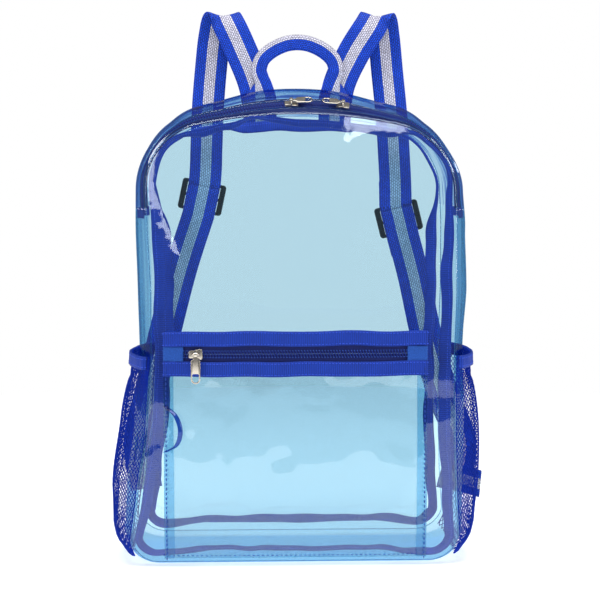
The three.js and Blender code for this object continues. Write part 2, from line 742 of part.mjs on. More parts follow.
// The pull hangs from a knuckle on the bar, its plate along +X from the axis at the origin
function pullGeometry(length) {
  const knuckle = new THREE.Shape();
  knuckle.absarc(0, 0, KNUCKLE_RADIUS, 0, 2 * Math.PI, false);
  const bore = new THREE.Path();
  bore.absarc(0, 0, BRIDGE_BAR + GAP, 0, 2 * Math.PI, true);
  knuckle.holes.push(bore);
  const knuckleSolid = extruded(knuckle, KNUCKLE_WIDTH, 6);
  knuckleSolid.translate(0, 0, -KNUCKLE_WIDTH / 2);
  knuckleSolid.rotateX(Math.PI / 2);
  const half = PULL_WIDTH / 2;
  const neck = KNUCKLE_RADIUS * 0.75;
  const shoulder = KNUCKLE_RADIUS + BRIDGE_BAR * 2;
  const shoulderRun = 1;
  const plate = new THREE.Shape();
  plate.moveTo(neck, -KNUCKLE_WIDTH / 2);
  plate.lineTo(shoulder, -KNUCKLE_WIDTH / 2);
  plate.lineTo(shoulder + shoulderRun, -half);
  plate.lineTo(length - half, -half);
  plate.absarc(length - half, 0, half, -Math.PI / 2, Math.PI / 2, false);
  plate.lineTo(shoulder + shoulderRun, half);
  plate.lineTo(shoulder, KNUCKLE_WIDTH / 2);
  plate.lineTo(neck, KNUCKLE_WIDTH / 2);
  plate.closePath();
  const inner = half - PULL_LOOP_WALL;
  const plainShare = 0.62;
  const loopStart = length * plainShare;
  const loop = new THREE.Path();
  loop.moveTo(loopStart, -inner);
  loop.lineTo(loopStart, inner);
  loop.lineTo(length - half, inner);
  loop.absarc(length - half, 0, inner, Math.PI / 2, -Math.PI / 2, true);
  loop.closePath();
  plate.holes.push(loop);
  const plateSolid = extruded(plate, PULL_THICKNESS, 4);
  plateSolid.translate(0, 0, -PULL_THICKNESS / 2);
  return joined([knuckleSolid, plateSolid]);
}

// A frame standing on the main zip's chain: X along the zip, Z away from the bag
function mainSliderFrame(place) {
  const target = Math.abs(place);
  let low = ZIP_END;
  let high = 1;
  for (let i = 0; i < 40; i += 1) {
    const middle = (low + high) / 2;
    if (outlineSpot(middle).x > target) low = middle;
    else high = middle;
  }
  const station = outlineStation(low, Math.sign(place));
  const chainTop = -SHEET - GAP + (CHAIN_THICKNESS - ZIP_TAPE_THICKNESS) / 2;
  const seat = gussetSpot(station, ZIP_SETBACK, chainTop + GAP * 1.5);
  const up = gussetSpot(station, ZIP_SETBACK, 10).sub(gussetSpot(station, ZIP_SETBACK, 0)).normalize();
  const along = new THREE.Vector3(station.nz, 0, -station.nx).normalize();
  const across = new THREE.Vector3().crossVectors(up, along);
  return new THREE.Matrix4().makeBasis(along, across, up).setPosition(seat);
}

function sliderAndPull(names, frame, pullTurn, pullLength, barAlongZip) {
  const group = new THREE.Group();
  group.applyMatrix4(frame);
  const slider = namedMesh(names.slider, sliderGeometry(barAlongZip), PULL_SILVER, 0.35, 0.9);
  const pull = namedMesh(names.pull, pullGeometry(pullLength), PULL_SILVER, 0.35, 0.9);
  pull.position.set(0, 0, PULL_AXIS_RISE);
  pull.rotation.z = pullTurn;
  group.add(slider, pull);
  return group;
}

function mainSliders() {
  return Object.entries(MAIN_SLIDER_PLACES).map(([side, place]) => {
    const names = { slider: `main_slider_${side}`, pull: `main_pull_${side}` };
    const turn = side === "left" ? 0 : Math.PI;
    return sliderAndPull(names, mainSliderFrame(place), turn, MAIN_PULL_LENGTH, false);
  });
}

function pocketSlider() {
  const x = POCKET_SLIDER_PLACE;
  const z = POCKET_ZIP_HEIGHT;
  const chainTop = SEAM_CLEARANCE + (CHAIN_THICKNESS + POCKET_TAPE_THICKNESS) / 2;
  const frame = new THREE.Matrix4().makeBasis(
    new THREE.Vector3(1, 0, 0),
    new THREE.Vector3(0, 0, 1),
    new THREE.Vector3(0, -1, 0),
  );
  frame.setPosition(x, frontFace(x, z) - chainTop - GAP * 1.5, z);
  const names = { slider: "pocket_slider", pull: "pocket_pull" };
  return sliderAndPull(names, frame, -Math.PI / 2, POCKET_PULL_LENGTH, true);
}

// Net side pockets: a bowed sheet with a grid of diamond holes inside plain edges

function netSpot(side, across, up, raised) {
  const bottom = alongAtHeight(NET_FOOT);
  const top = alongAtHeight(NET_HEIGHT);
  const station = outlineStation(THREE.MathUtils.lerp(bottom, top, up), side);
  const depth = THREE.MathUtils.lerp(NET_EDGE, BODY_DEPTH - NET_EDGE, across);
  const bow = Math.sin(Math.PI * across) ** 0.8;
  const leastBow = 0.45;
  const swell = Math.sin(Math.PI * Math.min(up * 1.15, 1)) ** 0.6;
  const fullness = leastBow + (1 - leastBow) * swell;
  const footing = Math.min(up * 6, 1);
  const clearance = SEAM_CLEARANCE + NET_FOOT_LIFT * (1 - footing);
  return gussetSpot(station, depth, clearance + NET_STANDOFF * bow * fullness * footing + raised);
}

// Plain edges of the net as shares of its width and height
const NET_HEM = 0.07;
const NET_STOPS_ACROSS = hemmedShares(NET_COLUMNS, NET_HEM);
const NET_STOPS_UP = hemmedShares(NET_ROWS, NET_HEM / 2);

function hemmedShares(count, hem) {
  return [0, ...shares(count + 1).map((share) => hem + share * (1 - 2 * hem)), 1];
}

function netPocket(side) {
  const columns = NET_STOPS_ACROSS;
  const rows = NET_STOPS_UP;
  const points = [];
  const faces = [];
  const layers = [NET_THICKNESS, 0];
  const cornerIndex = layers.map((raised) => rows.map((up) => columns.map((across) => {
    points.push(netSpot(side, across, up, raised));
    return points.length - 1;
  })));
  const holed = (row, column) =>
    row > 0 && row < rows.length - 2 && column > 0 && column < columns.length - 2;
  for (let row = 0; row < rows.length - 1; row += 1) {
    for (let column = 0; column < columns.length - 1; column += 1) {
      const corners = layers.map((_, layer) => [
        cornerIndex[layer][row][column], cornerIndex[layer][row][column + 1],
        cornerIndex[layer][row + 1][column + 1], cornerIndex[layer][row + 1][column],
      ]);
      if (holed(row, column)) {
        const reach = NET_OPEN_SHARE / 2;
        const spots = [[0.5, 0.5 - reach], [0.5 + reach, 0.5], [0.5, 0.5 + reach], [0.5 - reach, 0.5]];
        const diamond = layers.map((raised) => spots.map(([u, v]) => {
          const across = THREE.MathUtils.lerp(columns[column], columns[column + 1], u);
          const up = THREE.MathUtils.lerp(rows[row], rows[row + 1], v);
          points.push(netSpot(side, across, up, raised));
          return points.length - 1;
        }));
        for (let i = 0; i < 4; i += 1) {
          const next = (i + 1) % 4;
          const [c, d] = [corners[0], diamond[0]];
          const [e, f] = [corners[1], diamond[1]];
          faces.push([c[i], c[next], d[i]], [c[next], d[next], d[i]]);
          faces.push([e[next], e[i], f[i]], [e[next], f[i], f[next]]);
          faces.push([d[i], d[next], f[next]], [d[i], f[next], f[i]]);
        }
      } else {
        const [a, b, c, d] = corners[0];
        const [e, f, g, h] = corners[1];
        faces.push([a, b, c], [a, c, d], [g, f, e], [h, g, e]);
      }
    }
  }
  const [front, back] = cornerIndex;
  const lastRow = rows.length - 1;
  const lastColumn = columns.length - 1;
  const rim = (row, column, nextRow, nextColumn) => {
    const [a, b] = [front[row][column], front[nextRow][nextColumn]];
    const [c, d] = [back[row][column], back[nextRow][nextColumn]];
    faces.push([b, a, c], [b, c, d]);
  };
  for (let column = 0; column < lastColumn; column += 1) {
    rim(0, column, 0, column + 1);
    rim(lastRow, column + 1, lastRow, column);
  }
  for (let row = 0; row < lastRow; row += 1) {
    rim(row + 1, 0, row, 0);
    rim(row, lastColumn, row + 1, lastColumn);
  }
  return triangles(points, faces);
}

function netBinding(side) {
  const top = 1 + GAP / NET_HEIGHT;
  const low = 1 - NET_BINDING_WIDTH / NET_HEIGHT;
  const stops = [low, NET_STOPS_UP[NET_ROWS + 1], top];
  const under = NET_THICKNESS + NET_BINDING_CLEARANCE;
  const layer = (raised) =>
    NET_STOPS_ACROSS.map((across) => stops.map((up) => netSpot(side, across, up, raised)));
  return wallSolid(layer(under + NET_BINDING_THICKNESS), layer(under));
}

function netPockets() {
  return [["left", -1], ["right", 1]].flatMap(([name, side]) => [
    namedMesh(`mesh_pocket_${name}`, netPocket(side), NET_BLUE),
    namedMesh(`mesh_binding_${name}`, netBinding(side), TAPE_BLUE),
  ]);
}

// Webbing: a flat band along a route, with the direction of its width at each place

function bandSolid(places) {
  const face = (place, sign) => [-1, 1].map((edge) => new THREE.Vector3()
    .copy(place.centre)
    .addScaledVector(place.across, (edge * place.width) / 2)
    .addScaledVector(place.normal, (sign * place.thickness) / 2));
  return wallSolid(places.map((place) => face(place, 1)), places.map((place) => face(place, -1)));
}

// Places along a route of points, the band's width turned from level by each point's tilt
function routePlaces(points, tiltAt) {
  return points.map((centre, i) => {
    const tilt = tiltAt(i);
    const before = points[Math.max(i - 1, 0)];
    const after = points[Math.min(i + 1, points.length - 1)];
    const ahead = new THREE.Vector3().subVectors(after, before).normalize();
    const level = new THREE.Vector3(Math.cos(tilt), 0, -Math.sin(tilt));
    const across = level.addScaledVector(ahead, -level.dot(ahead)).normalize();
    const normal = new THREE.Vector3().crossVectors(ahead, across);
    return { centre, across, normal, width: WEBBING_WIDTH, thickness: WEBBING_THICKNESS };
  });
}

function strapSpot(row) {
  return new THREE.Vector3(
    (row.across * BODY_WIDTH) / 2,
    BODY_DEPTH / 2 + row.behind * BODY_DEPTH,
    row.height * BODY_HEIGHT,
  );
}

function curveThrough(points, count) {
  return new THREE.CatmullRomCurve3(points, false, "centripetal").getSpacedPoints(count);
}

function haulHandle() {
  const half = HANDLE_SPREAD / 2;
  const foot = handleFoot();
  const legs = [
    { across: -1.0, rise: 0.0, fold: 0 },
    { across: -1.0, rise: 0.36, fold: 0.05 },
    { across: -1.02, rise: 0.5, fold: 0.4 },
    { across: -1.04, rise: 0.66, fold: 0.9 },
    { across: -0.93, rise: 0.79, fold: 1 },
    { across: -0.68, rise: 0.89, fold: 1 },
    { across: -0.34, rise: 0.96, fold: 1 },
    { across: -0.1, rise: 0.98, fold: 1 },
  ];
  const mirrored = legs.map((row) => ({ ...row, across: -row.across })).reverse();
  const rows = [...legs, ...mirrored];
  const spots = rows.map((row) => new THREE.Vector3(
    HANDLE_SHIFT + row.across * half, foot.y, foot.z + row.rise * HANDLE_RISE,
  ));
  const places = spots.map((centre, i) => {
    const ahead = new THREE.Vector3().subVectors(spots[Math.min(i + 1, spots.length - 1)],
      spots[Math.max(i - 1, 0)]).normalize();
    const across = new THREE.Vector3(ahead.z, 0, -ahead.x);
    const fold = rows[i].fold;
    return {
      centre,
      across,
      normal: new THREE.Vector3(0, -1, 0),
      width: THREE.MathUtils.lerp(WEBBING_WIDTH, HANDLE_FOLD_WIDTH, fold),
      thickness: THREE.MathUtils.lerp(WEBBING_THICKNESS, WEBBING_THICKNESS * 2 + GAP, fold),
    };
  });
  return namedMesh("haul_handle", bandSolid(places), WEBBING_BLUE);
}

// Where the handle's legs meet the back seam, just behind the back sheet's rim
function handleFoot() {
  const z = BODY_HEIGHT - BINDING_WIDTH;
  return new THREE.Vector3(0, backFace(0, z) + SHEET + GAP + WEBBING_THICKNESS / 2, z);
}

function lockFrame(place) {
  const centre = strapSpot(place);
  const basis = new THREE.Matrix4().makeRotationY(THREE.MathUtils.degToRad(place.tilt));
  return basis.setPosition(centre);
}

// Runs of webbing round the lock's bars, in the lock's own frame: front is towards the bag
function lockTurn(barHeight, frontSign, from, to) {
  const steps = 4;
  return Array.from({ length: steps + 1 }, (_, i) => {
    const angle = THREE.MathUtils.lerp(from, to, i / steps);
    return new THREE.Vector3(
      0,
      frontSign * -LOCK_TURN_RADIUS * Math.cos(angle),
      barHeight + LOCK_TURN_RADIUS * Math.sin(angle),
    );
  });
}

function lockTilt(name) {
  return THREE.MathUtils.degToRad(LOCK_PLACES[name].tilt);
}

const LOCK_TOP_BAR = LOCK_HEIGHT / 2 - LOCK_BAR / 2;

function upperStrap(name) {
  const route = UPPER_STRAP_ROUTES[name].map(strapSpot);
  const frame = lockFrame(LOCK_PLACES[name]);
  const down = lockTurn(LOCK_TOP_BAR, 1, 0, -Math.PI);
  const hem = new THREE.Vector3(0, LOCK_TURN_RADIUS, LOCK_TOP_BAR + STRAP_HEM);
  const local = [...down, hem].map((point) => point.applyMatrix4(frame));
  const steps = 20;
  const body = curveThrough([...route, local[0]], steps);
  const turnStart = body.length - 5;
  const turnEnd = body.length - 2;
  const tiltAt = (i) => lockTilt(name) * THREE.MathUtils.smoothstep(i, turnStart, turnEnd);
  const places = routePlaces([...body, ...local.slice(1)], tiltAt);
  return namedMesh(`shoulder_strap_${name}`, bandSolid(places), WEBBING_BLUE);
}

function lowerStrap(name) {
  const frame = lockFrame(LOCK_PLACES[name]);
  const tail = new THREE.Vector3(0, LOCK_TURN_RADIUS, -STRAP_TAIL);
  const over = lockTurn(0, 1, Math.PI, 0);
  const leave = new THREE.Vector3(0, -LOCK_TURN_RADIUS, -LOCK_HEIGHT / 2 - LOCK_BAR);
  const local = [tail, ...over, leave].map((point) => point.applyMatrix4(frame));
  const route = LOWER_STRAP_ROUTES[name].map(strapSpot);
  const steps = 12;
  const body = curveThrough([local[local.length - 1], ...route], steps);
  const places = routePlaces([...local.slice(0, -1), ...body], () => lockTilt(name));
  return namedMesh(`lower_strap_${name}`, bandSolid(places), WEBBING_BLUE);
}

function ladderLock(name) {
  const half = LOCK_WIDTH / 2;
  const tall = LOCK_HEIGHT / 2;
  const corner = 3;
  const outline = new THREE.Shape();
  outline.moveTo(-half + corner, -tall);
  outline.lineTo(half - corner, -tall);
  outline.absarc(half - corner, -tall + corner, corner, -Math.PI / 2, 0, false);
  outline.absarc(half - corner, tall - corner, corner, 0, Math.PI / 2, false);
  outline.absarc(-half + corner, tall - corner, corner, Math.PI / 2, Math.PI, false);
  outline.absarc(-half + corner, -tall + corner, corner, Math.PI, 1.5 * Math.PI, false);
  const slot = (low, high) => {
    const hole = new THREE.Path();
    const inner = half - LOCK_RAIL;
    hole.moveTo(-inner, low);
    hole.lineTo(-inner, high);
    hole.lineTo(inner, high);
    hole.lineTo(inner, low);
    hole.closePath();
    return hole;
  };
  outline.holes.push(slot(LOCK_BAR / 2, tall - LOCK_BAR));
  outline.holes.push(slot(-tall + LOCK_BAR, -LOCK_BAR / 2));
  const geometry = extruded(outline, LOCK_THICKNESS, 3);
  geometry.translate(0, 0, -LOCK_THICKNESS / 2);
  geometry.rotateX(Math.PI / 2);
  const mesh = namedMesh(`ladder_lock_${name}`, geometry, BUCKLE_BLACK, 0.5);
  mesh.applyMatrix4(lockFrame(LOCK_PLACES[name]));
  return mesh;
}

const backpack = new THREE.Group();
backpack.add(frontPanel(), backPanel(), lowerGusset(), ...zipGussets(), ...mainZip());
backpack.add(...zipEndBindings(), ...bindings());
backpack.add(pocketPanel(), ...pocketTrim(), pocketSlider(), ...mainSliders());
backpack.add(...netPockets(), haulHandle());
["left", "right"].forEach((name) => {
  backpack.add(upperStrap(name), ladderLock(name), lowerStrap(name));
});

export default backpack;
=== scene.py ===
"""The looks of a clear backpack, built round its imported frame. Metres, +Z up, front towards -Y."""
import json
import math

import bmesh
import bpy
import numpy as np
from bpy.props import FloatProperty, FloatVectorProperty, IntProperty, PointerProperty
from mathutils import Matrix, Vector

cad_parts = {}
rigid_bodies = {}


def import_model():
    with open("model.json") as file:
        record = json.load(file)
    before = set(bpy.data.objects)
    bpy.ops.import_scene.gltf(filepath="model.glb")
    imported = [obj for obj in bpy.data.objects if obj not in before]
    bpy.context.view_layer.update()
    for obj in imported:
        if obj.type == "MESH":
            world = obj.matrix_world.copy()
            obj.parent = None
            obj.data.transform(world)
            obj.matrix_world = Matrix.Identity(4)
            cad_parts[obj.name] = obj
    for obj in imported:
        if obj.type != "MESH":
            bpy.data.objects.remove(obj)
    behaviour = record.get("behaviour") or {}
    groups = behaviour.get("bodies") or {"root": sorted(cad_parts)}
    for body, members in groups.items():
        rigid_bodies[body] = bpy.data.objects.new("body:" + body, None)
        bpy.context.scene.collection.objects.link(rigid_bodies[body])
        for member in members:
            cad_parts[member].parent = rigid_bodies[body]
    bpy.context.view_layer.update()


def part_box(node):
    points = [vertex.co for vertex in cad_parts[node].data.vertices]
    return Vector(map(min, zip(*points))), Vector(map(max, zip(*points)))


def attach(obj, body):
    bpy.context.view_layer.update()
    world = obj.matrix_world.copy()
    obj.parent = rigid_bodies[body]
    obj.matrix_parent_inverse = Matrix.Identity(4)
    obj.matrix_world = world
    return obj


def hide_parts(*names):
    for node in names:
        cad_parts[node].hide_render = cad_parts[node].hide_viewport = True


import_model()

bl_info = {
    "name": "Clear backpack",
    "version": (1, 0, 0),
    "blender": (4, 5, 0),
    "location": "3D View > Sidebar > Backpack",
    "description": "Builds a clear backpack with bound seams, zips, net pockets and webbing",
    "category": "Object",
}

BAG = "bag"
MM = 0.001


def linear(colour):
    """A colour written as sRGB hex, as the linear values that shaders take."""
    parts = [int(colour[i : i + 2], 16) / 255 for i in (1, 3, 5)]
    return tuple(c / 12.92 if c <= 0.04045 else ((c + 0.055) / 1.055) ** 2.4 for c in parts)


def offset(name, millimetres, description, **limits):
    settings = {"name": name, "default": millimetres * MM, "description": description}
    return FloatProperty(unit="LENGTH", precision=4, **settings, **limits)


def length(name, millimetres, description):
    return offset(name, millimetres, description, min=0.0)


def colour(name, value, description):
    return FloatVectorProperty(
        name=name, default=linear(value), size=3, subtype="COLOR", min=0, max=1, description=description
    )


class BodySizes(bpy.types.PropertyGroup):
    width: length("Width", 268, "Width between the side seams at mid height")
    height: length("Height", 407, "Height of the seams' crown above the floor")
    depth: length("Depth", 124, "Depth between the front and back seams")
    top_corner: length("Top corner", 58, "Radius of the outline's top corners")
    base_corner: length("Base corner", 22, "Radius of the outline's base corners")
    crown: FloatProperty(
        name="Crown", default=math.radians(12), subtype="ANGLE", description="Half angle of the crown's arc"
    )
    side_bulge: length("Side bulge", 20, "How far the gusset stands out from its seams")
    base_sag: length("Base sag", 4, "Height of the base seams above the floor")
    base_flatness: FloatProperty(
        name="Base flatness", default=2.2, description="How soon the base reaches the floor"
    )
    front_dome: length("Front dome", 7, "How far the front sheet stands forward of its seam")
    back_dome: length("Back dome", 4, "How far the back sheet stands behind its seam")
    film: length("Film", 0.5, "Thickness of the clear sheet")
    wall: length("Wall", 1.2, "Thickness of the solid wall that each sheet stands for")
    gap: length("Gap", 0.3, "Clearance between pieces that touch")
    ripple: length("Ripple", 0.55, "Height of the soft waves in the sheets")


class TrimSizes(bpy.types.PropertyGroup):
    binding: length("Binding width", 11, "Width of the folded tape inside the seams")
    binding_thickness: length("Binding thickness", 1.9, "Thickness of the folded tape")
    zip_end: length("Zip end", 322, "Height at which the main zip ends")
    setback: length("Zip setback", 13.5, "Distance of the main zip behind the front seam")
    tape: length("Zip tape", 9.5, "Width of each side of the zip's tape")
    window: length("Zip window", 11, "Width of the slit over the main zip")
    chain: length("Zip chain", 4.6, "Width of the closed coil")
    coil_pitch: length("Coil pitch", 2.6, "Distance between the coil's turns")
    end_band: length("Zip end band", 9, "Width of the bands at the zip's ends")


class PocketSizes(bpy.types.PropertyGroup):
    width: length("Width", 236, "Width of the front pocket")
    shift: offset("Shift", -8, "Place of the pocket's middle from the bag's")
    zip_height: length("Zip height", 193.5, "Height of the pocket's zip")
    band: length("Band", 13.5, "Width of the tapes above and below the zip")
    bulge: length("Bulge", 10, "How far the pocket's sheet stands out")
    foot: length("Foot", 8, "Height of the pocket's lower edge")
    tab: length("Tab", 18, "Length of the fabric tabs at the zip's ends")
    slider: offset("Slider", -97, "Place of the pocket's slider")
    side_hem: length("Side hem", 9, "Width of the doubled sheet at the pocket's sides")


class NetSizes(bpy.types.PropertyGroup):
    height: length("Height", 190, "Height of the net pockets' mouths")
    foot: length("Foot", 12, "Height of the net's lower edge")
    standoff: length("Standoff", 14, "How far the net stands out from the side")
    edge: length("Edge", 4, "Distance of the net from the seams")
    binding: length("Binding", 12, "Width of the tape along the net's mouth")
    cell: length("Cell", 6.2, "Width of the net's diamond cells")
    yarn: length("Yarn", 0.8, "Thickness of the net's knitted strands")


class WebbingSizes(bpy.types.PropertyGroup):
    width: length("Width", 31, "Width of the webbing")
    thickness: length("Thickness", 1.6, "Thickness of the webbing")
    stripe: length("Stripe", 10.2, "Width of the pale stripe down the webbing")
    handle_spread: length("Handle spread", 71, "Distance between the handle's legs")
    handle_rise: length("Handle rise", 82, "Height of the handle above its feet")
    lock_width: length("Buckle width", 43, "Width of the ladder locks")
    lock_height: length("Buckle height", 30, "Height of the ladder locks")
    lock_thickness: length("Buckle thickness", 3.4, "Thickness of the ladder locks")


class Finishes(bpy.types.PropertyGroup):
    film_tint: colour("Sheet tint", "#edf8fc", "What one face of the clear sheet lets through")
    binding: colour("Binding", "#08339c", "Royal blue of the ribbed tapes")
    webbing: colour("Webbing", "#0c40c0", "Royal blue of the straps")
    stripe: colour("Stripe", "#c5c3d6", "Pale grey of the webbing's stripe")
    zip_tape: colour("Zip tape", "#0d2274", "Navy of the zip's tape")
    coil: colour("Coil", "#0b2a84", "Navy of the nylon coil")
    tab: colour("Tab", "#2461cc", "Lighter blue of the zip's end tabs")
    net: colour("Net", "#0b2a9c", "Royal blue of the net")
    metal: colour("Metal", "#d3cabb", "Warm nickel of the sliders")
    buckle: colour("Buckle", "#07090c", "Black of the ladder locks")


class ClearBackpack(bpy.types.PropertyGroup):
    body: PointerProperty(type=BodySizes, name="Body", description="Sizes of the bag's body")
    trim: PointerProperty(type=TrimSizes, name="Trim", description="Sizes of the bindings and the main zip")
    pocket: PointerProperty(type=PocketSizes, name="Pocket", description="Sizes of the front pocket")
    net: PointerProperty(type=NetSizes, name="Net", description="Sizes of the net pockets")
    webbing: PointerProperty(type=WebbingSizes, name="Webbing", description="Sizes of straps and buckles")
    finish: PointerProperty(type=Finishes, name="Finish", description="Colours of the finishes")
    stitch_pitch: length("Stitch pitch", 3.0, "Distance between stitches")
    seed: IntProperty(name="Seed", default=7, min=0, description="Seed of the sheets' soft waves")


def sizes():
    return bpy.context.scene.clear_backpack


# The body's form, from the same sizes and shares as the frame

# Share of the height, width of the outline, share of the side's bulge, and how far the soft
# bag leans to the right there, in mm
BODY_FORM = (
    (0.0, 1.09, 0.2, -9.0),
    (0.05, 1.1, 0.5, -8.0),
    (0.15, 1.07, 0.7, -6.5),
    (0.3, 1.03, 0.75, -3.0),
    (0.46, 1.015, 0.65, -1.0),
    (0.6, 1.02, 0.75, 0.0),
    (0.75, 1.03, 0.66, -1.5),
    (0.83, 1.03, 0.58, -3.0),
    (0.91, 1.02, 0.5, -4.5),
    (0.955, 1.015, 0.58, -5.0),
    (0.985, 1.01, 0.86, -5.0),
    (1.0, 1.0, 1.18, -5.0),
)

# Share of the depth, share of the bulge reached there
GUSSET_PROFILE = (
    (0.0, 0.0),
    (0.06, 0.2),
    (0.16, 0.5),
    (0.29, 0.86),
    (0.4, 1.0),
    (0.6, 1.0),
    (0.71, 0.88),
    (0.88, 0.48),
    (1.0, 0.0),
)

# Dents of the front sheet: across the half width, share of the height, reach and depth
FRONT_DENTS = (
    (-0.72, 0.84, 0.3, 0.45),
    (0.5, 0.86, 0.24, 0.35),
    (0.25, 0.62, 0.3, 0.3),
    (-0.35, 0.68, 0.26, 0.25),
)


def read(table, share, column=1):
    """A column of a table at each share, smooth between its rows."""
    table = np.asarray(table, float)
    share = np.clip(np.asarray(share, float), table[0, 0], table[-1, 0])
    low = np.clip(np.searchsorted(table[:, 0], share, side="right") - 1, 0, len(table) - 2)
    part = (share - table[low, 0]) / (table[low + 1, 0] - table[low, 0])
    eased = part * part * (3 - 2 * part)
    start, end = table[low, column], table[low + 1, column]
    return start + (end - start) * (part + eased) * 0.5


def smooth(value, low, high):
    part = np.clip((np.asarray(value, float) - low) / (high - low), 0, 1)
    return part * part * (3 - 2 * part)


def unit(vectors):
    return vectors / np.linalg.norm(vectors, axis=-1)[..., None]


def lengths(line):
    """How far along a line of points each one is."""
    steps = np.linalg.norm(np.diff(line, axis=0), axis=1)
    return np.concatenate([[0], np.cumsum(steps)])


def between(points, travel, at):
    """Points at those lengths along a line of points."""
    return np.stack([np.interp(at, travel, points[:, i]) for i in range(3)], 1)


def waves(x, y, z, wave, seed, stretch=(1, 1, 1)):
    """Soft seeded waves about one unit high, longer where the stretch is larger."""
    chance = np.random.default_rng(seed)
    total = 0
    count = 9
    for direction in chance.normal(size=(count, 3)):
        direction = unit(direction) / np.asarray(stretch, float)
        turns = (x * direction[0] + y * direction[1] + z * direction[2]) / wave
        total = total + np.sin(2 * math.pi * (turns * chance.uniform(0.6, 1.7) + chance.uniform()))
    return total / math.sqrt(count)


class BodyForm:
    """The bag's outline and the surfaces that its pieces follow."""

    def __init__(self, calm=False):
        self.sizes = sizes().body
        self.ripple = 0.0 if calm else self.sizes.ripple
        self.leaning = 0.0 if calm else MM
        self.seed = sizes().seed
        self.outline = self.half_outline()
        self.travel = lengths(self.outline)
        self.centre = self.sizes.height * 0.5
        rim = np.linspace(0, 1, 900)
        spots = self.spot(rim)
        angle = np.arctan2(spots[0], spots[1] - self.centre)
        reach = np.hypot(spots[0], spots[1] - self.centre)
        order = np.argsort(angle)
        self.rim_angle, self.rim_reach = angle[order], reach[order]

    def half_outline(self):
        s = self.sizes
        half = s.width / 2
        crown_radius = s.top_corner + (half - s.top_corner) / math.sin(s.crown)
        shoulder = s.height - crown_radius + (crown_radius - s.top_corner) * math.cos(s.crown)
        foot = half - s.base_corner
        rise = s.base_sag + s.base_corner

        def arc(x, z, radius, start, end):
            angles = np.linspace(start, end, 120)
            return np.stack([x + radius * np.cos(angles), z + radius * np.sin(angles)], 1)

        quarter = math.pi / 2
        runs = [
            np.array([[0, s.base_sag], [foot, s.base_sag]]),
            arc(foot, rise, s.base_corner, -quarter, 0),
            arc(half - s.top_corner, shoulder, s.top_corner, 0, quarter - s.crown),
            arc(0, s.height - crown_radius, crown_radius, quarter - s.crown, quarter),
        ]
        return np.vstack(runs)

    def spot(self, along):
        """Right half of the outline at shares of its length from the middle of the base."""
        travel = np.clip(along, 0, 1) * self.travel[-1]
        x = np.interp(travel, self.travel, self.outline[:, 0])
        z = np.interp(travel, self.travel, self.outline[:, 1])
        share = (z - self.sizes.base_sag) / (self.sizes.height - self.sizes.base_sag)
        return x * read(BODY_FORM, share), z, share

    def station(self, turn):
        """Outline points at turns from -1, up the left side, through 0 at the base, to 1 on the right."""
        turn = np.asarray(turn, float)
        side = np.where(turn < 0, -1.0, 1.0)
        along = np.abs(turn)
        step = 0.004
        x, z, share = self.spot(along)
        ahead, behind = self.spot(along + step), self.spot(along - step)
        dx, dz = ahead[0] - behind[0], ahead[1] - behind[1]
        span = np.hypot(dx, dz)
        level = (along < step) | (along > 1 - step)
        nx = np.where(level, 0, side * dz / span)
        nz = np.where(level, np.sign(along - 0.5), -dx / span)
        bulge = self.sizes.side_bulge * read(BODY_FORM, share, 2)
        fullness = 1 + self.sizes.base_flatness * smooth(-nz, 0.4, 1)
        x = side * x + self.lean(share)
        return {"x": x, "z": z, "nx": nx, "nz": nz, "bulge": bulge, "fullness": fullness}

    def lean(self, share):
        return self.leaning * read(BODY_FORM, share, 3)

    def last_turn(self, low, short_of):
        """The last turn up the right side, from a low one, whose outline point is short of a place."""
        high = 1.0
        for _ in range(40):
            middle = (low + high) / 2
            low, high = (middle, high) if short_of(self.spot(middle)) else (low, middle)
        return low

    def turn_at_height(self, height):
        return self.last_turn(0.0, lambda spot: spot[1] < height)

    def rim_share(self, x, z):
        s = self.sizes
        x = x - self.lean((z - s.base_sag) / (s.height - s.base_sag))
        angle = np.arctan2(np.abs(x), z - self.centre)
        reach = np.interp(angle, self.rim_angle, self.rim_reach)
        return np.hypot(x, z - self.centre) / reach

    def front_rise(self, x, z):
        s = self.sizes
        share = np.minimum(self.rim_share(x, z), 1)
        dome = s.front_dome * (1 - share**2.4)
        half = s.width / 2
        sunk = 0
        for across, height, reach, depth in FRONT_DENTS:
            dx, dz = (x - across * half) / (reach * half), (z - height * s.height) / (reach * half)
            sunk = sunk + depth * s.front_dome * np.exp(-(dx * dx + dz * dz))
        inside = np.minimum(1, 4 * (1 - share))
        broad = 1.6 * waves(x, 0 * x, z, 0.17, self.seed, (1, 1, 1.4))
        fine = 0.5 * waves(x, 0 * x, z, 0.06, self.seed + 1, (1.6, 1, 1))
        return dome - sunk * inside + self.ripple * (broad + fine) * inside

    def front_face(self, x, z):
        return -self.sizes.depth / 2 - self.sizes.wall - self.front_rise(x, z)

    def back_face(self, x, z):
        s = self.sizes
        share = np.minimum(self.rim_share(x, z), 1)
        inside = np.minimum(1, 4 * (1 - share))
        ripple = self.ripple * 1.2 * waves(x, 0 * x, z, 0.2, self.seed + 2) * inside
        return s.depth / 2 + s.back_dome * (1 - share**3) + ripple

    def gusset(self, turn, depth, raised=0.0):
        """Points of the gusset: depth behind the front seam, raised outward from its outer face."""
        s = self.sizes
        spot = self.station(turn)
        share = np.clip(depth / s.depth, 0, 1)
        step = 0.01
        low, high = np.maximum(share - step, 0), np.minimum(share + step, 1)

        def bulge(at):
            return spot["bulge"] * np.minimum(1, read(GUSSET_PROFILE, at) * spot["fullness"])

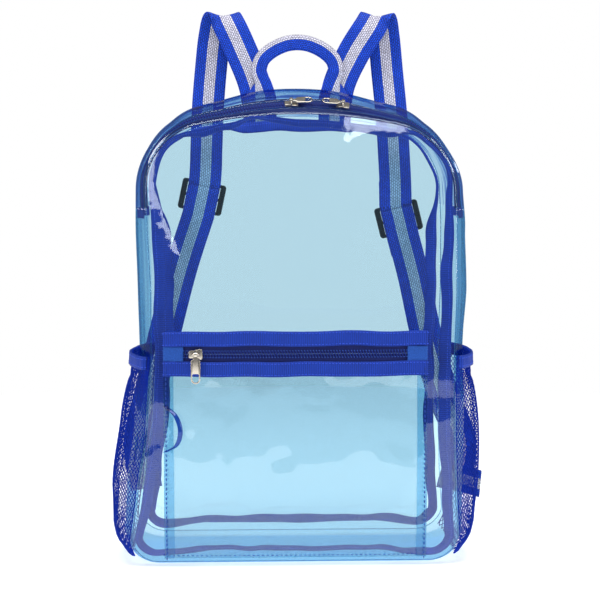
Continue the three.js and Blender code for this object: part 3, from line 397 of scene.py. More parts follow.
        slope = (bulge(high) - bulge(low)) / (s.depth * (high - low))
        scale = raised / np.hypot(1, slope)
        out = bulge(share) + scale
        free = np.sin(math.pi * share) ** 0.7 * smooth(spot["z"], 0.01, 0.05)
        x, z = spot["x"] + spot["nx"] * out, spot["z"] + spot["nz"] * out
        shaped = waves(x, depth, z, 0.045, self.seed + 3, (3.2, 0.8, 3.2))
        creased = waves(x, depth, z, 0.11, self.seed + 4, (1.4, 1, 1.4))
        out = self.ripple * (1.0 * shaped + 1.6 * creased) * free
        return np.stack(
            [x + spot["nx"] * out, -s.depth / 2 + depth - slope * scale, z + spot["nz"] * out], -1
        )


# Meshes


def linked(name, data):
    """An object of that data, in the scene."""
    made = bpy.data.objects.new(name, data)
    bpy.context.scene.collection.objects.link(made)
    return made


def wall(name, outer, inner, ring=False, pole=False):
    """A closed thin wall between two grids of points, with its own lengths along and across as UVs.
    A ring's last row meets its first, and a pole's last column is one point. Its rim is slot 1."""
    rows, columns = outer.shape[:2]
    closing = np.concatenate([outer, outer[:1]]) if ring else outer
    along = lengths(closing[:, 0 if pole else columns // 2])
    across = lengths(outer[rows // 2])
    across = across - across[-1] / 2
    count = rows * columns
    points = np.concatenate([outer.reshape(-1, 3), inner.reshape(-1, 3)])
    if pole:
        points[columns - 1 : count : columns] = outer[0, -1]
        points[count + columns - 1 :: columns] = inner[0, -1]
    steps = rows if ring else rows - 1
    faces, uvs, rim = [], [], []

    def quad(corners, marks, edge):
        faces.append(corners)
        uvs.extend(marks)
        rim.append(edge)

    for r in range(steps):
        near, far = r * columns, ((r + 1) % rows) * columns
        u, v = along[r], along[r + 1]
        for c in range(columns - 1):
            a, b, d, e = near + c, near + c + 1, far + c + 1, far + c
            s, t = across[c], across[c + 1]
            quad((a, b, d, e), ((u, s), (u, t), (v, t), (v, s)), 0)
            quad((count + e, count + d, count + b, count + a), ((v, s), (v, t), (u, t), (u, s)), 0)
        ends = ((0, near, far),) if pole else ((0, near, far), (columns - 1, far, near))
        for c, p, q in ends:
            s = across[c]
            quad((p + c, q + c, count + q + c, count + p + c), ((u, s), (v, s), (v, s), (u, s)), 1)
    if not ring:
        last = (rows - 1) * columns
        for c in range(columns - 1):
            s, t = across[c], across[c + 1]
            for base, p, q in ((0, c + 1, c), (last, c, c + 1)):
                p, q = base + p, base + q
                quad((p, q, count + q, count + p), ((0, t), (0, s), (0, s), (0, t)), 1)
    return made_mesh(name, points, faces, uvs, rim)


def turned_over(outer, inner):
    """The same two grids with rows and columns changed over, for a wall that runs across them."""
    return np.swapaxes(outer, 0, 1), np.swapaxes(inner, 0, 1)


def made_mesh(name, points, faces, uvs=None, slots=None):
    """An object at the origin from points and faces, turned to face outward, with poles closed."""
    mesh = bpy.data.meshes.new(name)
    mesh.from_pydata([tuple(p) for p in points], [], faces)
    if uvs is not None:
        layer = mesh.uv_layers.new(name="lengths")
        layer.data.foreach_set("uv", np.asarray(uvs, np.float32).ravel())
    if slots is not None:
        mesh.polygons.foreach_set("material_index", slots)
    whole = bmesh.new()
    whole.from_mesh(mesh)
    bmesh.ops.remove_doubles(whole, verts=whole.verts, dist=1e-6)
    bmesh.ops.dissolve_degenerate(whole, edges=whole.edges, dist=1e-7)
    if whole.calc_volume(signed=True) < 0:
        bmesh.ops.reverse_faces(whole, faces=whole.faces)
    whole.to_mesh(mesh)
    whole.free()
    mesh.polygons.foreach_set("use_smooth", [True] * len(mesh.polygons))
    return linked(name, mesh)


def finish_piece(made, slot, node, *finishes, body=BAG):
    """Gives a piece its finishes and its body in the frame, and hides the node that it replaces. Its slot is
    not used.
    """
    for finish in finishes:
        made.data.materials.append(finish)
    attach(made, body)
    if node:
        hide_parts(node)
    return made


# Materials


def add(tree, kind, inputs=None, **settings):
    """Adds a node with its settings; an input given as a socket is linked, and any other is its value."""
    node = tree.nodes.new(kind)
    for name, value in settings.items():
        setattr(node, name, value)
    for name, value in (inputs or {}).items():
        if isinstance(value, bpy.types.NodeSocket):
            tree.links.new(value, node.inputs[name])
        else:
            node.inputs[name].default_value = value
    return node


def material(surface):
    """Turns a function that adds nodes to a tree and returns their surface into one that returns a
    material, made once under the name it is given or else under the function's own."""

    def make(name=surface.__name__, *values, **settings):
        made = bpy.data.materials.get(name)
        if made is None:
            made = bpy.data.materials.new(name)
            made.use_nodes = True
            tree = made.node_tree
            tree.nodes.clear()
            add(tree, "ShaderNodeOutputMaterial", {"Surface": surface(tree, *values, **settings)})
        return made

    return make


def rgba(value):
    return (*value, 1.0)


def shade(value, share):
    return rgba(tuple(min(1.0, c * share) for c in value))


def lengths_in_mm(tree):
    """The piece's own lengths along and across, in millimetres, as a vector and its parts."""
    uv = add(tree, "ShaderNodeUVMap", uv_map="lengths")
    scaled = add(tree, "ShaderNodeVectorMath", {0: uv.outputs[0], "Scale": 1000.0}, operation="SCALE")
    parts = add(tree, "ShaderNodeSeparateXYZ", {0: scaled.outputs[0]})
    return scaled.outputs[0], parts.outputs["X"], parts.outputs["Y"]


def drifting_dye_and_shade(tree, place, base, low, high, scale, detail=2.0):
    """A colour that drifts between two shares of itself with a noise of that scale: the dye's own drift, and
    on the net's yarn painted shade.
    """
    tone = add(tree, "ShaderNodeTexNoise", {"Vector": place, "Scale": scale, "Detail": detail})
    drift = {0: tone.outputs["Fac"], 6: shade(base, low), 7: shade(base, high)}
    return add(tree, "ShaderNodeMix", drift, data_type="RGBA").outputs[2]


def textured_skin(tree, scale, strength, distance):
    """A fine cast or moulded skin of that scale: its noise, and the bump that it makes."""
    place = add(tree, "ShaderNodeTexCoord").outputs["Object"]
    skin = add(tree, "ShaderNodeTexNoise", {"Vector": place, "Scale": scale, "Detail": 2.0}).outputs["Fac"]
    bump = add(tree, "ShaderNodeBump", {"Height": skin, "Strength": strength, "Distance": distance})
    return skin, bump.outputs[0]


@material
def calendered_clear_pvc(tree, slanted="#98d6f0", painted_tape_reflection=0.0, tint=None):
    """Calendered soft PVC: see-through, faintly blue, mirror-like at a slant, with slow ripples.
    Where it is bent round the bag, long creases carry a painted reflection of the tapes beside it, darker
    blue streaks in what it lets through."""
    place = add(tree, "ShaderNodeTexCoord").outputs["Object"]
    # Ripples about 60 mm and 14 mm long, from rolling and folding
    slow = add(tree, "ShaderNodeTexNoise", {"Vector": place, "Scale": 16.0, "Detail": 1.0})
    quick = add(tree, "ShaderNodeTexNoise", {"Vector": place, "Scale": 70.0, "Detail": 1.0})
    low = add(tree, "ShaderNodeBump", {"Height": slow.outputs["Fac"], "Strength": 0.35, "Distance": 0.004})
    ripple = {"Height": quick.outputs["Fac"], "Normal": low.outputs[0], "Strength": 0.12, "Distance": 0.001}
    both = add(tree, "ShaderNodeBump", ripple)
    # The share mirrored by a face of IOR 1.54, by Schlick's rule from both sides, less at a slant
    # because the calendered skin scatters it
    facing = add(tree, "ShaderNodeLayerWeight", {"Blend": 0.5})
    slant = add(tree, "ShaderNodeMath", {0: facing.outputs["Facing"], 1: 5.0}, operation="POWER")
    schlick = {0: slant.outputs[0], 1: 0.32, 2: 0.04}
    mirrored = add(tree, "ShaderNodeMath", schlick, operation="MULTIPLY_ADD")
    # Light that crosses the sheet at a slant takes a longer way through the blue
    longer = add(tree, "ShaderNodeMath", {0: facing.outputs["Facing"], 1: 3.0}, operation="POWER")
    tints = {0: longer.outputs[0], 6: rgba(tint or sizes().finish.film_tint), 7: rgba(linear(slanted))}
    tinted = add(tree, "ShaderNodeMix", tints, data_type="RGBA").outputs[2]
    # Painted reflection of the blue tapes: a deeper blue mixed into what the sheet lets through, in streaks
    # along its creases
    if painted_tape_reflection:
        place, _, _ = lengths_in_mm(tree)
        # Creases about 80 mm long and 4 mm apart
        drawn = add(tree, "ShaderNodeVectorMath", {0: place, 1: (0.012, 0.22, 0.0)}, operation="MULTIPLY")
        painted_reflection_streaks = add(tree, "ShaderNodeTexNoise", {"Vector": drawn.outputs[0], "Scale": 1.0, "Detail": 2.0})
        deep = {0: painted_reflection_streaks.outputs["Fac"], 1: 0.5, 2: 0.66, 3: 0.0, 4: painted_tape_reflection}
        depth = add(tree, "ShaderNodeMapRange", deep).outputs[0]
        painted_reflection_mix = {0: depth, 6: tinted, 7: rgba(linear("#3f7ed2"))}
        tinted = add(tree, "ShaderNodeMix", painted_reflection_mix, data_type="RGBA").outputs[2]
    # Light goes on through the soft sheet in every direction, so its shadows stay pale
    shadow = add(tree, "ShaderNodeLightPath").outputs["Is Shadow Ray"]
    paler = {0: shadow, 6: tinted, 7: rgba(linear("#f2fafd"))}
    lit = add(tree, "ShaderNodeMix", paler, data_type="RGBA")
    unshaded = add(tree, "ShaderNodeMath", {0: 1.0, 1: shadow}, operation="SUBTRACT").outputs[0]
    share = add(tree, "ShaderNodeMath", {0: mirrored.outputs[0], 1: unshaded}, operation="MULTIPLY")
    through = add(tree, "ShaderNodeBsdfTransparent", {"Color": lit.outputs[2]})
    mirror = {"Color": (1, 1, 1, 1), "Roughness": 0.035, "Normal": both.outputs[0]}
    gloss = add(tree, "ShaderNodeBsdfAnisotropic", mirror)
    parts = {0: share.outputs[0], 1: through.outputs[0], 2: gloss.outputs[0]}
    return add(tree, "ShaderNodeMixShader", parts).outputs[0]


@material
def cut_pvc_edge(tree):
    """The cut edge of the sheet: light gathers along the film, so it looks a deeper blue."""
    through = add(tree, "ShaderNodeBsdfTransparent", {"Color": rgba(linear("#5fa6cf"))})
    pvc = {"Base Color": rgba(linear("#3d86c4")), "Roughness": 0.12, "IOR": 1.54}
    body = add(tree, "ShaderNodeBsdfPrincipled", pvc)
    return add(tree, "ShaderNodeMixShader", {0: 0.45, 1: through.outputs[0], 2: body.outputs[0]}).outputs[0]


# Woven tape is matt, with a little sheen from its loose fibres
LOOSE_FIBRES = {"Specular IOR Level": 0.22, "Sheen Weight": 0.04}


@material
def woven_band(tree, base, stripe=None, stripe_width=0.0, pick=2.3, end=1.5, lift=0.8):
    """Woven polyester or polypropylene band: rows of short raised picks, staggered like bricks."""
    place, _, across = lengths_in_mm(tree)
    # The yarns wander by about 0.2 mm each 2 mm
    wobble = add(tree, "ShaderNodeTexNoise", {"Vector": place, "Scale": 0.5, "Detail": 1.0})
    wander = {0: wobble.outputs["Color"], 1: (0.22, 0.22, 0.0), 2: place}
    moved = add(tree, "ShaderNodeVectorMath", wander, operation="MULTIPLY_ADD")
    # Picks of that length along the band, in rows of that height across it, in millimetres
    picks = add(
        tree,
        "ShaderNodeTexBrick",
        {
            "Vector": moved.outputs[0],
            "Color1": (1, 1, 1, 1),
            "Color2": (0.6, 0.6, 0.6, 1),
            "Mortar": (0, 0, 0, 1),
            "Scale": 1.0,
            "Mortar Size": 0.24 * end,
            "Mortar Smooth": 0.6,
            "Brick Width": pick,
            "Row Height": end,
        },
        offset=0.5,
    )
    # The dye drifts over about 14 mm of the band
    yarn = drifting_dye_and_shade(tree, place, base, 0.85, 1.18, 0.07, 3.0)
    if stripe:
        # The stripe's edge is ragged by 0.9 mm, over less than a millimetre of its length
        apart = add(tree, "ShaderNodeMath", {0: across}, operation="ABSOLUTE")
        ragged = add(tree, "ShaderNodeTexNoise", {"Vector": place, "Scale": 1.3, "Detail": 0.0})
        edge = {0: ragged.outputs["Fac"], 1: 0.9, 2: apart.outputs[0]}
        line = add(tree, "ShaderNodeMath", edge, operation="MULTIPLY_ADD")
        half_stripe = {0: line.outputs[0], 1: stripe_width / (2 * MM) + 0.45}
        inside = add(tree, "ShaderNodeMath", half_stripe, operation="LESS_THAN")
        striped = {0: inside.outputs[0], 6: yarn, 7: drifting_dye_and_shade(tree, place, stripe, 0.9, 1.12, 0.07, 3.0)}
        yarn = add(tree, "ShaderNodeMix", striped, data_type="RGBA").outputs[2]
    # Painted shade darkens the grooves between the picks, and the picks' own tone differs at random from one
    # to the next
    depths = {0: picks.outputs["Color"], 6: rgba((0.25,) * 3), 7: rgba((1.0,) * 3)}
    shaded = add(tree, "ShaderNodeMix", depths, data_type="RGBA").outputs[2]
    both = {0: 1.0, 6: yarn, 7: shaded}
    woven = add(tree, "ShaderNodeMix", both, data_type="RGBA", blend_type="MULTIPLY").outputs[2]
    raised = {"Height": picks.outputs["Color"], "Strength": lift, "Distance": 0.0004}
    bump = add(tree, "ShaderNodeBump", raised).outputs[0]
    cloth = {"Base Color": woven, "Roughness": 0.62, "Normal": bump, **LOOSE_FIBRES}
    return add(tree, "ShaderNodeBsdfPrincipled", cloth).outputs[0]


@material
def ribbed_band(tree, base):
    """Grosgrain polyester tape: fine ribs straight across it and a grain of single threads."""
    place, along, _ = lengths_in_mm(tree)
    # One rib each 1.9 mm
    wave = add(tree, "ShaderNodeMath", {0: along, 1: 2 * math.pi / 1.9}, operation="MULTIPLY")
    ribs = add(tree, "ShaderNodeMath", {0: wave.outputs[0]}, operation="SINE")
    # Threads about 0.6 mm apart
    grain = add(tree, "ShaderNodeTexNoise", {"Vector": place, "Scale": 1.8, "Detail": 2.0})
    relief = {0: ribs.outputs[0], 1: 0.2, 2: grain.outputs["Fac"]}
    height = add(tree, "ShaderNodeMath", relief, operation="MULTIPLY_ADD").outputs[0]
    # Painted shade and highlight: the ribs' tops lighter and their grooves darker, mixed with the threads'
    # own tone from the grain
    rib_shade_and_thread_tone = add(tree, "ShaderNodeMapRange", {0: height, 1: 0.15, 2: 0.85, 3: 0.5, 4: 1.35})
    # The dye drifts over about 17 mm of the tape
    both = {0: 1.0, 6: drifting_dye_and_shade(tree, place, base, 0.8, 1.2, 0.06), 7: rib_shade_and_thread_tone.outputs[0]}
    ribbed = add(tree, "ShaderNodeMix", both, data_type="RGBA", blend_type="MULTIPLY").outputs[2]
    bump = add(tree, "ShaderNodeBump", {"Height": height, "Strength": 0.8, "Distance": 0.0005}).outputs[0]
    cloth = {"Base Color": ribbed, "Roughness": 0.58, "Normal": bump, **LOOSE_FIBRES}
    return add(tree, "ShaderNodeBsdfPrincipled", cloth).outputs[0]


@material
def nylon(tree, base, roughness):
    """Nylon monofilament or bonded thread: smooth, slightly waxy."""
    place = add(tree, "ShaderNodeTexCoord").outputs["Object"]
    # Tone changes over about 20 mm, as dye lots and wear do
    tone = drifting_dye_and_shade(tree, place, base, 0.8, 1.25, 50.0)
    waxy = {"Base Color": tone, "Roughness": roughness, "IOR": 1.53, "Specular IOR Level": 0.25}
    return add(tree, "ShaderNodeBsdfPrincipled", waxy).outputs[0]


@material
def nickel_plated_zinc(tree):
    """Nickel-plated die-cast zinc: bright, slightly warm, with a faint cast skin under the plate."""
    # Cast skin about 1 mm apart
    skin, bump = textured_skin(tree, 900.0, 0.02, 0.0003)
    rough = add(tree, "ShaderNodeMapRange", {0: skin, 1: 0.3, 2: 0.7, 3: 0.2, 4: 0.27}).outputs[0]
    plate = {"Base Color": rgba(sizes().finish.metal), "Metallic": 1.0, "Roughness": rough, "Normal": bump}
    return add(tree, "ShaderNodeBsdfPrincipled", plate).outputs[0]


@material
def moulded_acetal(tree):
    """Moulded black acetal: a fine spark-eroded skin with a soft shine."""
    # Mould texture about 0.6 mm apart
    _, bump = textured_skin(tree, 1600.0, 0.15, 0.0002)
    acetal = {"Base Color": rgba(sizes().finish.buckle), "Roughness": 0.42, "IOR": 1.48, "Normal": bump}
    return add(tree, "ShaderNodeBsdfPrincipled", acetal).outputs[0]


@material
def knitted_polyester_yarn(tree):
    """Polyester yarn of the net: matt, slightly fuzzy, with painted shade that makes it darker between its
    loops.
    """
    place = add(tree, "ShaderNodeTexCoord").outputs["Object"]
    # Painted shade between loops about 1.4 mm apart along the yarn
    loops = drifting_dye_and_shade(tree, place, sizes().finish.net, 0.55, 1.4, 700.0, 1.0)
    yarn = {"Base Color": loops, "Roughness": 0.75, "Specular IOR Level": 0.1}
    return add(tree, "ShaderNodeBsdfPrincipled", yarn).outputs[0]


# Repeated pieces, laid along lines by node trees


def line_mesh(name, lines):
    """A loose mesh of open lines, for a node tree to lay pieces along."""
    points, edges = [], []
    for line in lines:
        start = len(points)
        points.extend(tuple(p) for p in line)
        edges.extend((start + i, start + i + 1) for i in range(len(line) - 1))
    mesh = bpy.data.meshes.new(name)
    mesh.from_pydata(points, edges, [])
    return linked(name, mesh)


def lines_tree(name, inputs):
    """A new tree that takes lines, the named inputs and a material: it, its input node and the lines."""
    tree = bpy.data.node_groups.new(name, "GeometryNodeTree")
    tree.interface.new_socket(name="Geometry", in_out="OUTPUT", socket_type="NodeSocketGeometry")
    for label, kind in {"Geometry": "Geometry", **inputs, "Material": "Material"}.items():
        tree.interface.new_socket(name=label, in_out="INPUT", socket_type=f"NodeSocket{kind}")
    given = tree.nodes.new("NodeGroupInput")
    curve = add(tree, "GeometryNodeMeshToCurve", {"Mesh": given.outputs["Geometry"]})
    return tree, given.outputs, curve.outputs[0]


def finished_tree(tree, geometry, given):
    """Ends a tree in real geometry with its material, and returns it."""
    real = add(tree, "GeometryNodeRealizeInstances", {"Geometry": geometry})
    smooth_faces = add(tree, "GeometryNodeSetShadeSmooth", {"Geometry": real.outputs[0]})
    dress = {"Geometry": smooth_faces.outputs[0], "Material": given["Material"]}
    add(tree, "NodeGroupOutput", {0: add(tree, "GeometryNodeSetMaterial", dress).outputs[0]})
    return tree


def beads_tree():
    """Lays small rounded beads along lines: the stitches."""
    tree = bpy.data.node_groups.get("beads_along_lines")
    if tree:
        return tree
    inputs = {"Pitch": "Float", "Size": "Vector", "Jitter": "Float"}
    tree, given, curve = lines_tree("beads_along_lines", inputs)
    pitch = {"Curve": curve, "Length": given["Pitch"]}
    spaced = add(tree, "GeometryNodeResampleCurve", pitch, mode="LENGTH")
    bead = add(tree, "GeometryNodeMeshUVSphere", {"Segments": 6, "Rings": 4, "Radius": 1.0})
    tangent = add(tree, "GeometryNodeInputTangent")
    turned = add(tree, "FunctionNodeAlignRotationToVector", {"Vector": tangent.outputs[0]}, axis="X")
    least = add(tree, "ShaderNodeMath", {0: 1.0, 1: given["Jitter"]}, operation="SUBTRACT")
    chance = {2: least.outputs[0], 3: 1.0, "Seed": 3}
    spread = add(tree, "FunctionNodeRandomValue", chance, data_type="FLOAT")
    sized = {0: given["Size"], "Scale": spread.outputs[1]}
    scale = add(tree, "ShaderNodeVectorMath", sized, operation="SCALE")
    beads = {"Points": spaced.outputs[0], "Instance": bead.outputs[0]}
    beads |= {"Rotation": turned.outputs[0], "Scale": scale.outputs[0]}
    laid = add(tree, "GeometryNodeInstanceOnPoints", beads)
    return finished_tree(tree, laid.outputs[0], given)


def strands_tree():
    """Gives lines a round body: net yarn, zip coils and the sliders' bridges."""
    tree = bpy.data.node_groups.get("strands_from_lines")
    if tree:
        return tree
    tree, given, curve = lines_tree("strands_from_lines", {"Radius": "Float", "Sides": "Int"})
    round_section = {"Resolution": given["Sides"], "Radius": given["Radius"]}
    ring = add(tree, "GeometryNodeCurvePrimitiveCircle", round_section)
    swept = {"Curve": curve, "Profile Curve": ring.outputs[0], "Fill Caps": True}
    return finished_tree(tree, add(tree, "GeometryNodeCurveToMesh", swept).outputs[0], given)


def grown(name, lines, tree, finish, **values):
    """Runs a tree on lines and returns the plain mesh that it makes."""
    source = line_mesh(name + "_lines", lines)
    modifier = source.modifiers.new("grown", "NODES")
    modifier.node_group = tree
    named = {item.name: item.identifier for item in tree.interface.items_tree if item.in_out == "INPUT"}
    for key, value in {**values, "Material": finish}.items():
        modifier[named[key]] = value
    scene_state = bpy.context.evaluated_depsgraph_get()
    scene_state.update()
    mesh = bpy.data.meshes.new_from_object(source.evaluated_get(scene_state))
    mesh.name = name
    bpy.data.objects.remove(source)
    if not mesh.polygons:
        raise RuntimeError(f"{name} grew no faces")
    return linked(name, mesh)


def stitched(name, lines, thread=None, slot="binding_tape", size=(1.15, 0.32, 0.32), pitch=None):
    """Rows of stitches along lines; the size is a stitch's half length and half widths, in mm."""
    made = grown(
        name,
        lines,
        beads_tree(),
        thread or nylon("bonded_blue_thread", linear("#2a4fd0"), 0.4),
        Pitch=pitch or sizes().stitch_pitch,
        Size=tuple(v * MM for v in size),
        Jitter=0.12,
    )
    return finish_piece(made, slot, None)


# Clear sheets


def over_the_top(first, count):
    """Turns from the right zip end over the crown to the left one."""
    turns = np.linspace(first, 2 - first, count)
    return np.where(turns > 1, turns - 2, turns)


def panel_grid(form, face, thickness, turns=300, rings=26):
    """Outer and inner points of a sheet that fills the outline, from its rim to its middle."""
    loop = form.station(np.linspace(-1, 1, turns, endpoint=False))
    shares = 1 - np.linspace(0, 1, rings) ** 1.5
    x = loop["x"][:, None] * shares[None, :]
    z = form.centre + (loop["z"] - form.centre)[:, None] * shares[None, :]
    y = face(x, z)
    return np.stack([x, y, z], -1), np.stack([x, y + thickness, z], -1)


def strip_grid(form, turns, depths, raised, thickness):
    """Outer and inner points of a strip of the gusset, over turns round the bag and depths."""
    turns, depths = np.asarray(turns)[:, None], np.asarray(depths)[None, :]
    outer = form.gusset(turns + 0 * depths, depths + 0 * turns, raised)
    inner = form.gusset(turns + 0 * depths, depths + 0 * turns, raised - thickness)
    return outer, inner


def film_piece(name, outer, inner, node, flat, film, area=None, seat="front_binding_tape", **shape):
    made = finish_piece(wall(name, outer, inner, **shape), "clear_sheet", node, film, cut_pvc_edge())
    return made


class CLEARPACK_OT_sheets(bpy.types.Operator):
    """Makes the front and back sheets and the gussets between them"""

    bl_idname = "clear_pack.sheets"
    bl_label = "Clear sheets"

    def execute(self, context):
        form = BodyForm()
        body, trim = sizes().body, sizes().trim
        film = body.film
        whole = (body.width * 1.11, body.height)
        shape = {"area": 0.9 * whole[0] * whole[1], "ring": True, "pole": True}
        outer, inner = panel_grid(form, form.front_face, film)
        plain = calendered_clear_pvc()
        film_piece("front_sheet", outer, inner, "front_panel", whole, plain, **shape)
        inner, outer = panel_grid(form, form.back_face, film)
        seat = "back_binding_tape"
        film_piece("back_sheet", outer, inner, "back_panel", whole, plain, seat=seat, **shape)
        half = form.travel[-1]
        end = form.turn_at_height(trim.zip_end)
        girth = body.depth * 1.12
        edge = body.gap
        whole_depth = np.linspace(edge, body.depth - edge, 44)
        outer, inner = strip_grid(form, np.linspace(-end, end, 300), whole_depth, 0, film)
        bent = calendered_clear_pvc("calendered_clear_pvc_bent", "#7cc8ea")
        film_piece("lower_gusset_sheet", outer, inner, "lower_gusset", (2 * end * half, girth), bent)
        # The sheets over the top carry painted reflections of the tapes, darker blue streaks along their
        # creases
        creased = calendered_clear_pvc("calendered_clear_pvc_creased", "#6cb0e4", 0.6)
        over = over_the_top(end + edge / half, 230)
        window = trim.window / 2
        runs = (
            ("front", np.linspace(edge, trim.setback - window, 6)),
            ("rear", np.linspace(trim.setback + window, body.depth - edge, 34)),
        )
        # The cut sheet reaches on under the binding and the zip's tape
        allowance = 4 * MM
        for side, depths in runs:
            outer, inner = strip_grid(form, over, depths, 0, film)
            flat = (2 * (1 - end) * half, (depths[-1] - depths[0]) * 1.15 + allowance)
            area = flat[0] * (flat[1] - allowance)
            film_piece(f"zip_gusset_{side}_sheet", outer, inner, f"zip_gusset_{side}", flat, creased, area)
        return {"FINISHED"}


# Bindings: turn round the outline, inset from the seam in mm, lean into the bag in degrees,
# share of the full width that stays flat
FRONT_BINDING_LIE = (
    (-1.0, 5.0, 50, 0.8),
    (-0.955, 2.0, 62, 0.75),
    (-0.93, 1.0, 74, 0.6),
    (-0.9, 4.0, 50, 0.85),
    (-0.86, 4.5, 50, 0.85),
    (-0.81, 1.0, 72, 0.6),
    (-0.76, 2.0, 60, 0.7),
    (-0.7, 3.0, 30, 1.0),
    (-0.55, 2.0, 25, 1.0),
    (-0.36, 3.5, 30, 1.0),
    (-0.24, 2.0, 40, 0.9),
    (-0.16, 5.0, 60, 0.7),
    (-0.1, 10.0, 66, 0.55),
    (0.0, 8.0, 66, 0.6),
    (0.1, 8.5, 66, 0.55),
    (0.17, 3.0, 55, 0.7),
    (0.24, 2.0, 35, 0.9),
    (0.4, 2.0, 25, 1.0),
    (0.62, 3.0, 25, 1.0),
    (0.7, 2.0, 55, 0.85),
    (0.77, 1.0, 74, 0.6),
    (0.82, 1.5, 66, 0.75),
    (0.88, 5.0, 45, 0.9),
    (0.94, 5.5, 45, 0.85),
    (1.0, 5.0, 50, 0.8),
)
BACK_BINDING_LIE = (
    (-1.0, 2.5, 20, 1.0),
    (-0.92, 2.5, 30, 0.95),
    (-0.87, 1.0, 74, 0.6),
    (-0.8, 0.5, 78, 0.4),
    (-0.73, 1.0, 74, 0.5),
    (-0.66, 3.0, 20, 1.0),
    (-0.3, 3.0, 20, 1.0),
    (-0.17, 2.0, 30, 1.0),
    (-0.12, 7.0, 40, 0.9),
    (0.0, 6.0, 30, 0.95),
    (0.12, 7.5, 35, 0.9),
    (0.18, 3.0, 30, 1.0),
    (0.5, 3.0, 20, 1.0),
    (0.66, 3.0, 20, 1.0),
    (0.73, 1.0, 74, 0.5),
    (0.8, 0.5, 78, 0.4),
    (0.87, 1.0, 74, 0.6),
    (0.92, 2.5, 30, 0.95),
    (1.0, 2.5, 20, 1.0),
)


def binding_grid(form, lie, seam, inward, seed, stations=420):
    """Both faces of a folded tape that hangs inside a seam, leaning into the bag and rippling."""
    trim, body = sizes().trim, sizes().body
    turns = np.linspace(-1, 1, stations, endpoint=False)
    spot = form.station(turns)
    inset = read(lie, turns, 1) * MM
    lean = np.radians(read(lie, turns, 2))
    width = trim.binding * read(lie, turns, 3)
    ripple = waves(spot["x"], 0 * turns, spot["z"], 0.034, seed)
    lean = lean + 0.16 * ripple
    inset = inset + 0.5 * MM * waves(spot["x"], 0 * turns, spot["z"], 0.05, seed + 1) + body.wall
    across = np.linspace(0, 1, 8)[None, :, None]
    inwards = np.stack([-spot["nx"], 0 * turns, -spot["nz"]], -1)
    backwards = np.array([0, inward, 0])
    way = np.cos(lean)[:, None] * inwards + np.sin(lean)[:, None] * backwards
    face = np.cos(lean)[:, None] * backwards - np.sin(lean)[:, None] * inwards
    start = np.stack([spot["x"], seam + 0 * turns, spot["z"]], -1) + inwards * inset[:, None]
    middle = start[:, None, :] + way[:, None, :] * width[:, None, None] * across
    curl = 0.9 * MM * np.sin(math.pi * across) * (1 + 0.6 * ripple[:, None, None])
    middle = middle + face[:, None, :] * curl
    half = trim.binding_thickness / 2 * np.sqrt(np.clip(1 - np.abs(2 * across - 1) ** 5, 0.12, 1))
    return middle - face[:, None, :] * half, middle + face[:, None, :] * half


class CLEARPACK_OT_bindings(bpy.types.Operator):
    """Makes the ribbed tapes folded over the front and back seams, and their stitches"""

    bl_idname = "clear_pack.bindings"
    bl_label = "Seam bindings"

    def execute(self, context):
        form = BodyForm()
        body = sizes().body
        tape = ribbed_band("grosgrain_binding", sizes().finish.binding)
        near = body.gap + 0.6 * MM
        runs = (
            ("front", FRONT_BINDING_LIE, -body.depth / 2 + near, 1, 11),
            ("back", BACK_BINDING_LIE, body.depth / 2 - near, -1, 21),
        )
        for side, lie, seam, inward, seed in runs:
            outer, inner = binding_grid(form, lie, seam, inward, seed)
            made = wall(f"{side}_binding_tape", outer, inner, ring=True)
            finish_piece(made, "binding_tape", f"{side}_binding", tape)
            lines = [np.vstack([outer[:, 2], outer[:1, 2]]), np.vstack([inner[:, 2], inner[:1, 2]])]
            stitched(f"{side}_binding_stitches", lines)
        return {"FINISHED"}


# Zips


def frames_along(line, up):
    """Unit vectors across a line of points and out from it, square to the given up vectors."""
    ahead = unit(np.gradient(line, axis=0))
    across = unit(np.cross(up, ahead))
    return across, np.cross(ahead, across)


def resampled(line, step):
    """The same line by points an even step apart."""
    travel = lengths(line)
    count = max(2, int(round(travel[-1] / step)) + 1)
    return between(line, travel, np.linspace(0, travel[-1], count))


def coil_lines(line, up, pitch, width, height):
    """Two coils of nylon wound side by side along a line, meshed with each other."""
    per_turn = 8
    fine = resampled(line, pitch / per_turn)
    travel = lengths(line)
    ups = between(up, travel, np.linspace(0, travel[-1], len(fine)))
    across, out = frames_along(fine, ups)
    angle = np.arange(len(fine)) * 2 * math.pi / per_turn
    made = []
    for side, phase in ((-1, 0.0), (1, math.pi)):
        swing = np.cos(angle + phase)[:, None] * across * width * 0.29
        rise = np.sin(angle + phase)[:, None] * out * height / 2
        made.append(fine + side * across * width * 0.21 + swing + rise)
    return made


def zip_coil(name, line, up, node):
    trim = sizes().trim
    finish = nylon("nylon_zip_coil", sizes().finish.coil, 0.5)
    width = trim.chain * 1.4
    coils = coil_lines(line, up, trim.coil_pitch, width, 1.5 * MM)
    made = grown(name, coils, strands_tree(), finish, Radius=0.36 * MM, Sides=5)
    finish_piece(made, "zip_tape", node)
    across, out = frames_along(line, up)
    rows = [line + across * side * width * 0.47 + out * 0.75 * MM for side in (-1, 1)]
    thread = nylon("coil_sewing_thread", linear("#3a68cc"), 0.6)
    stitched(name + "_stitches", rows, thread, "zip_tape", (0.42, 0.3, 0.3), trim.coil_pitch)


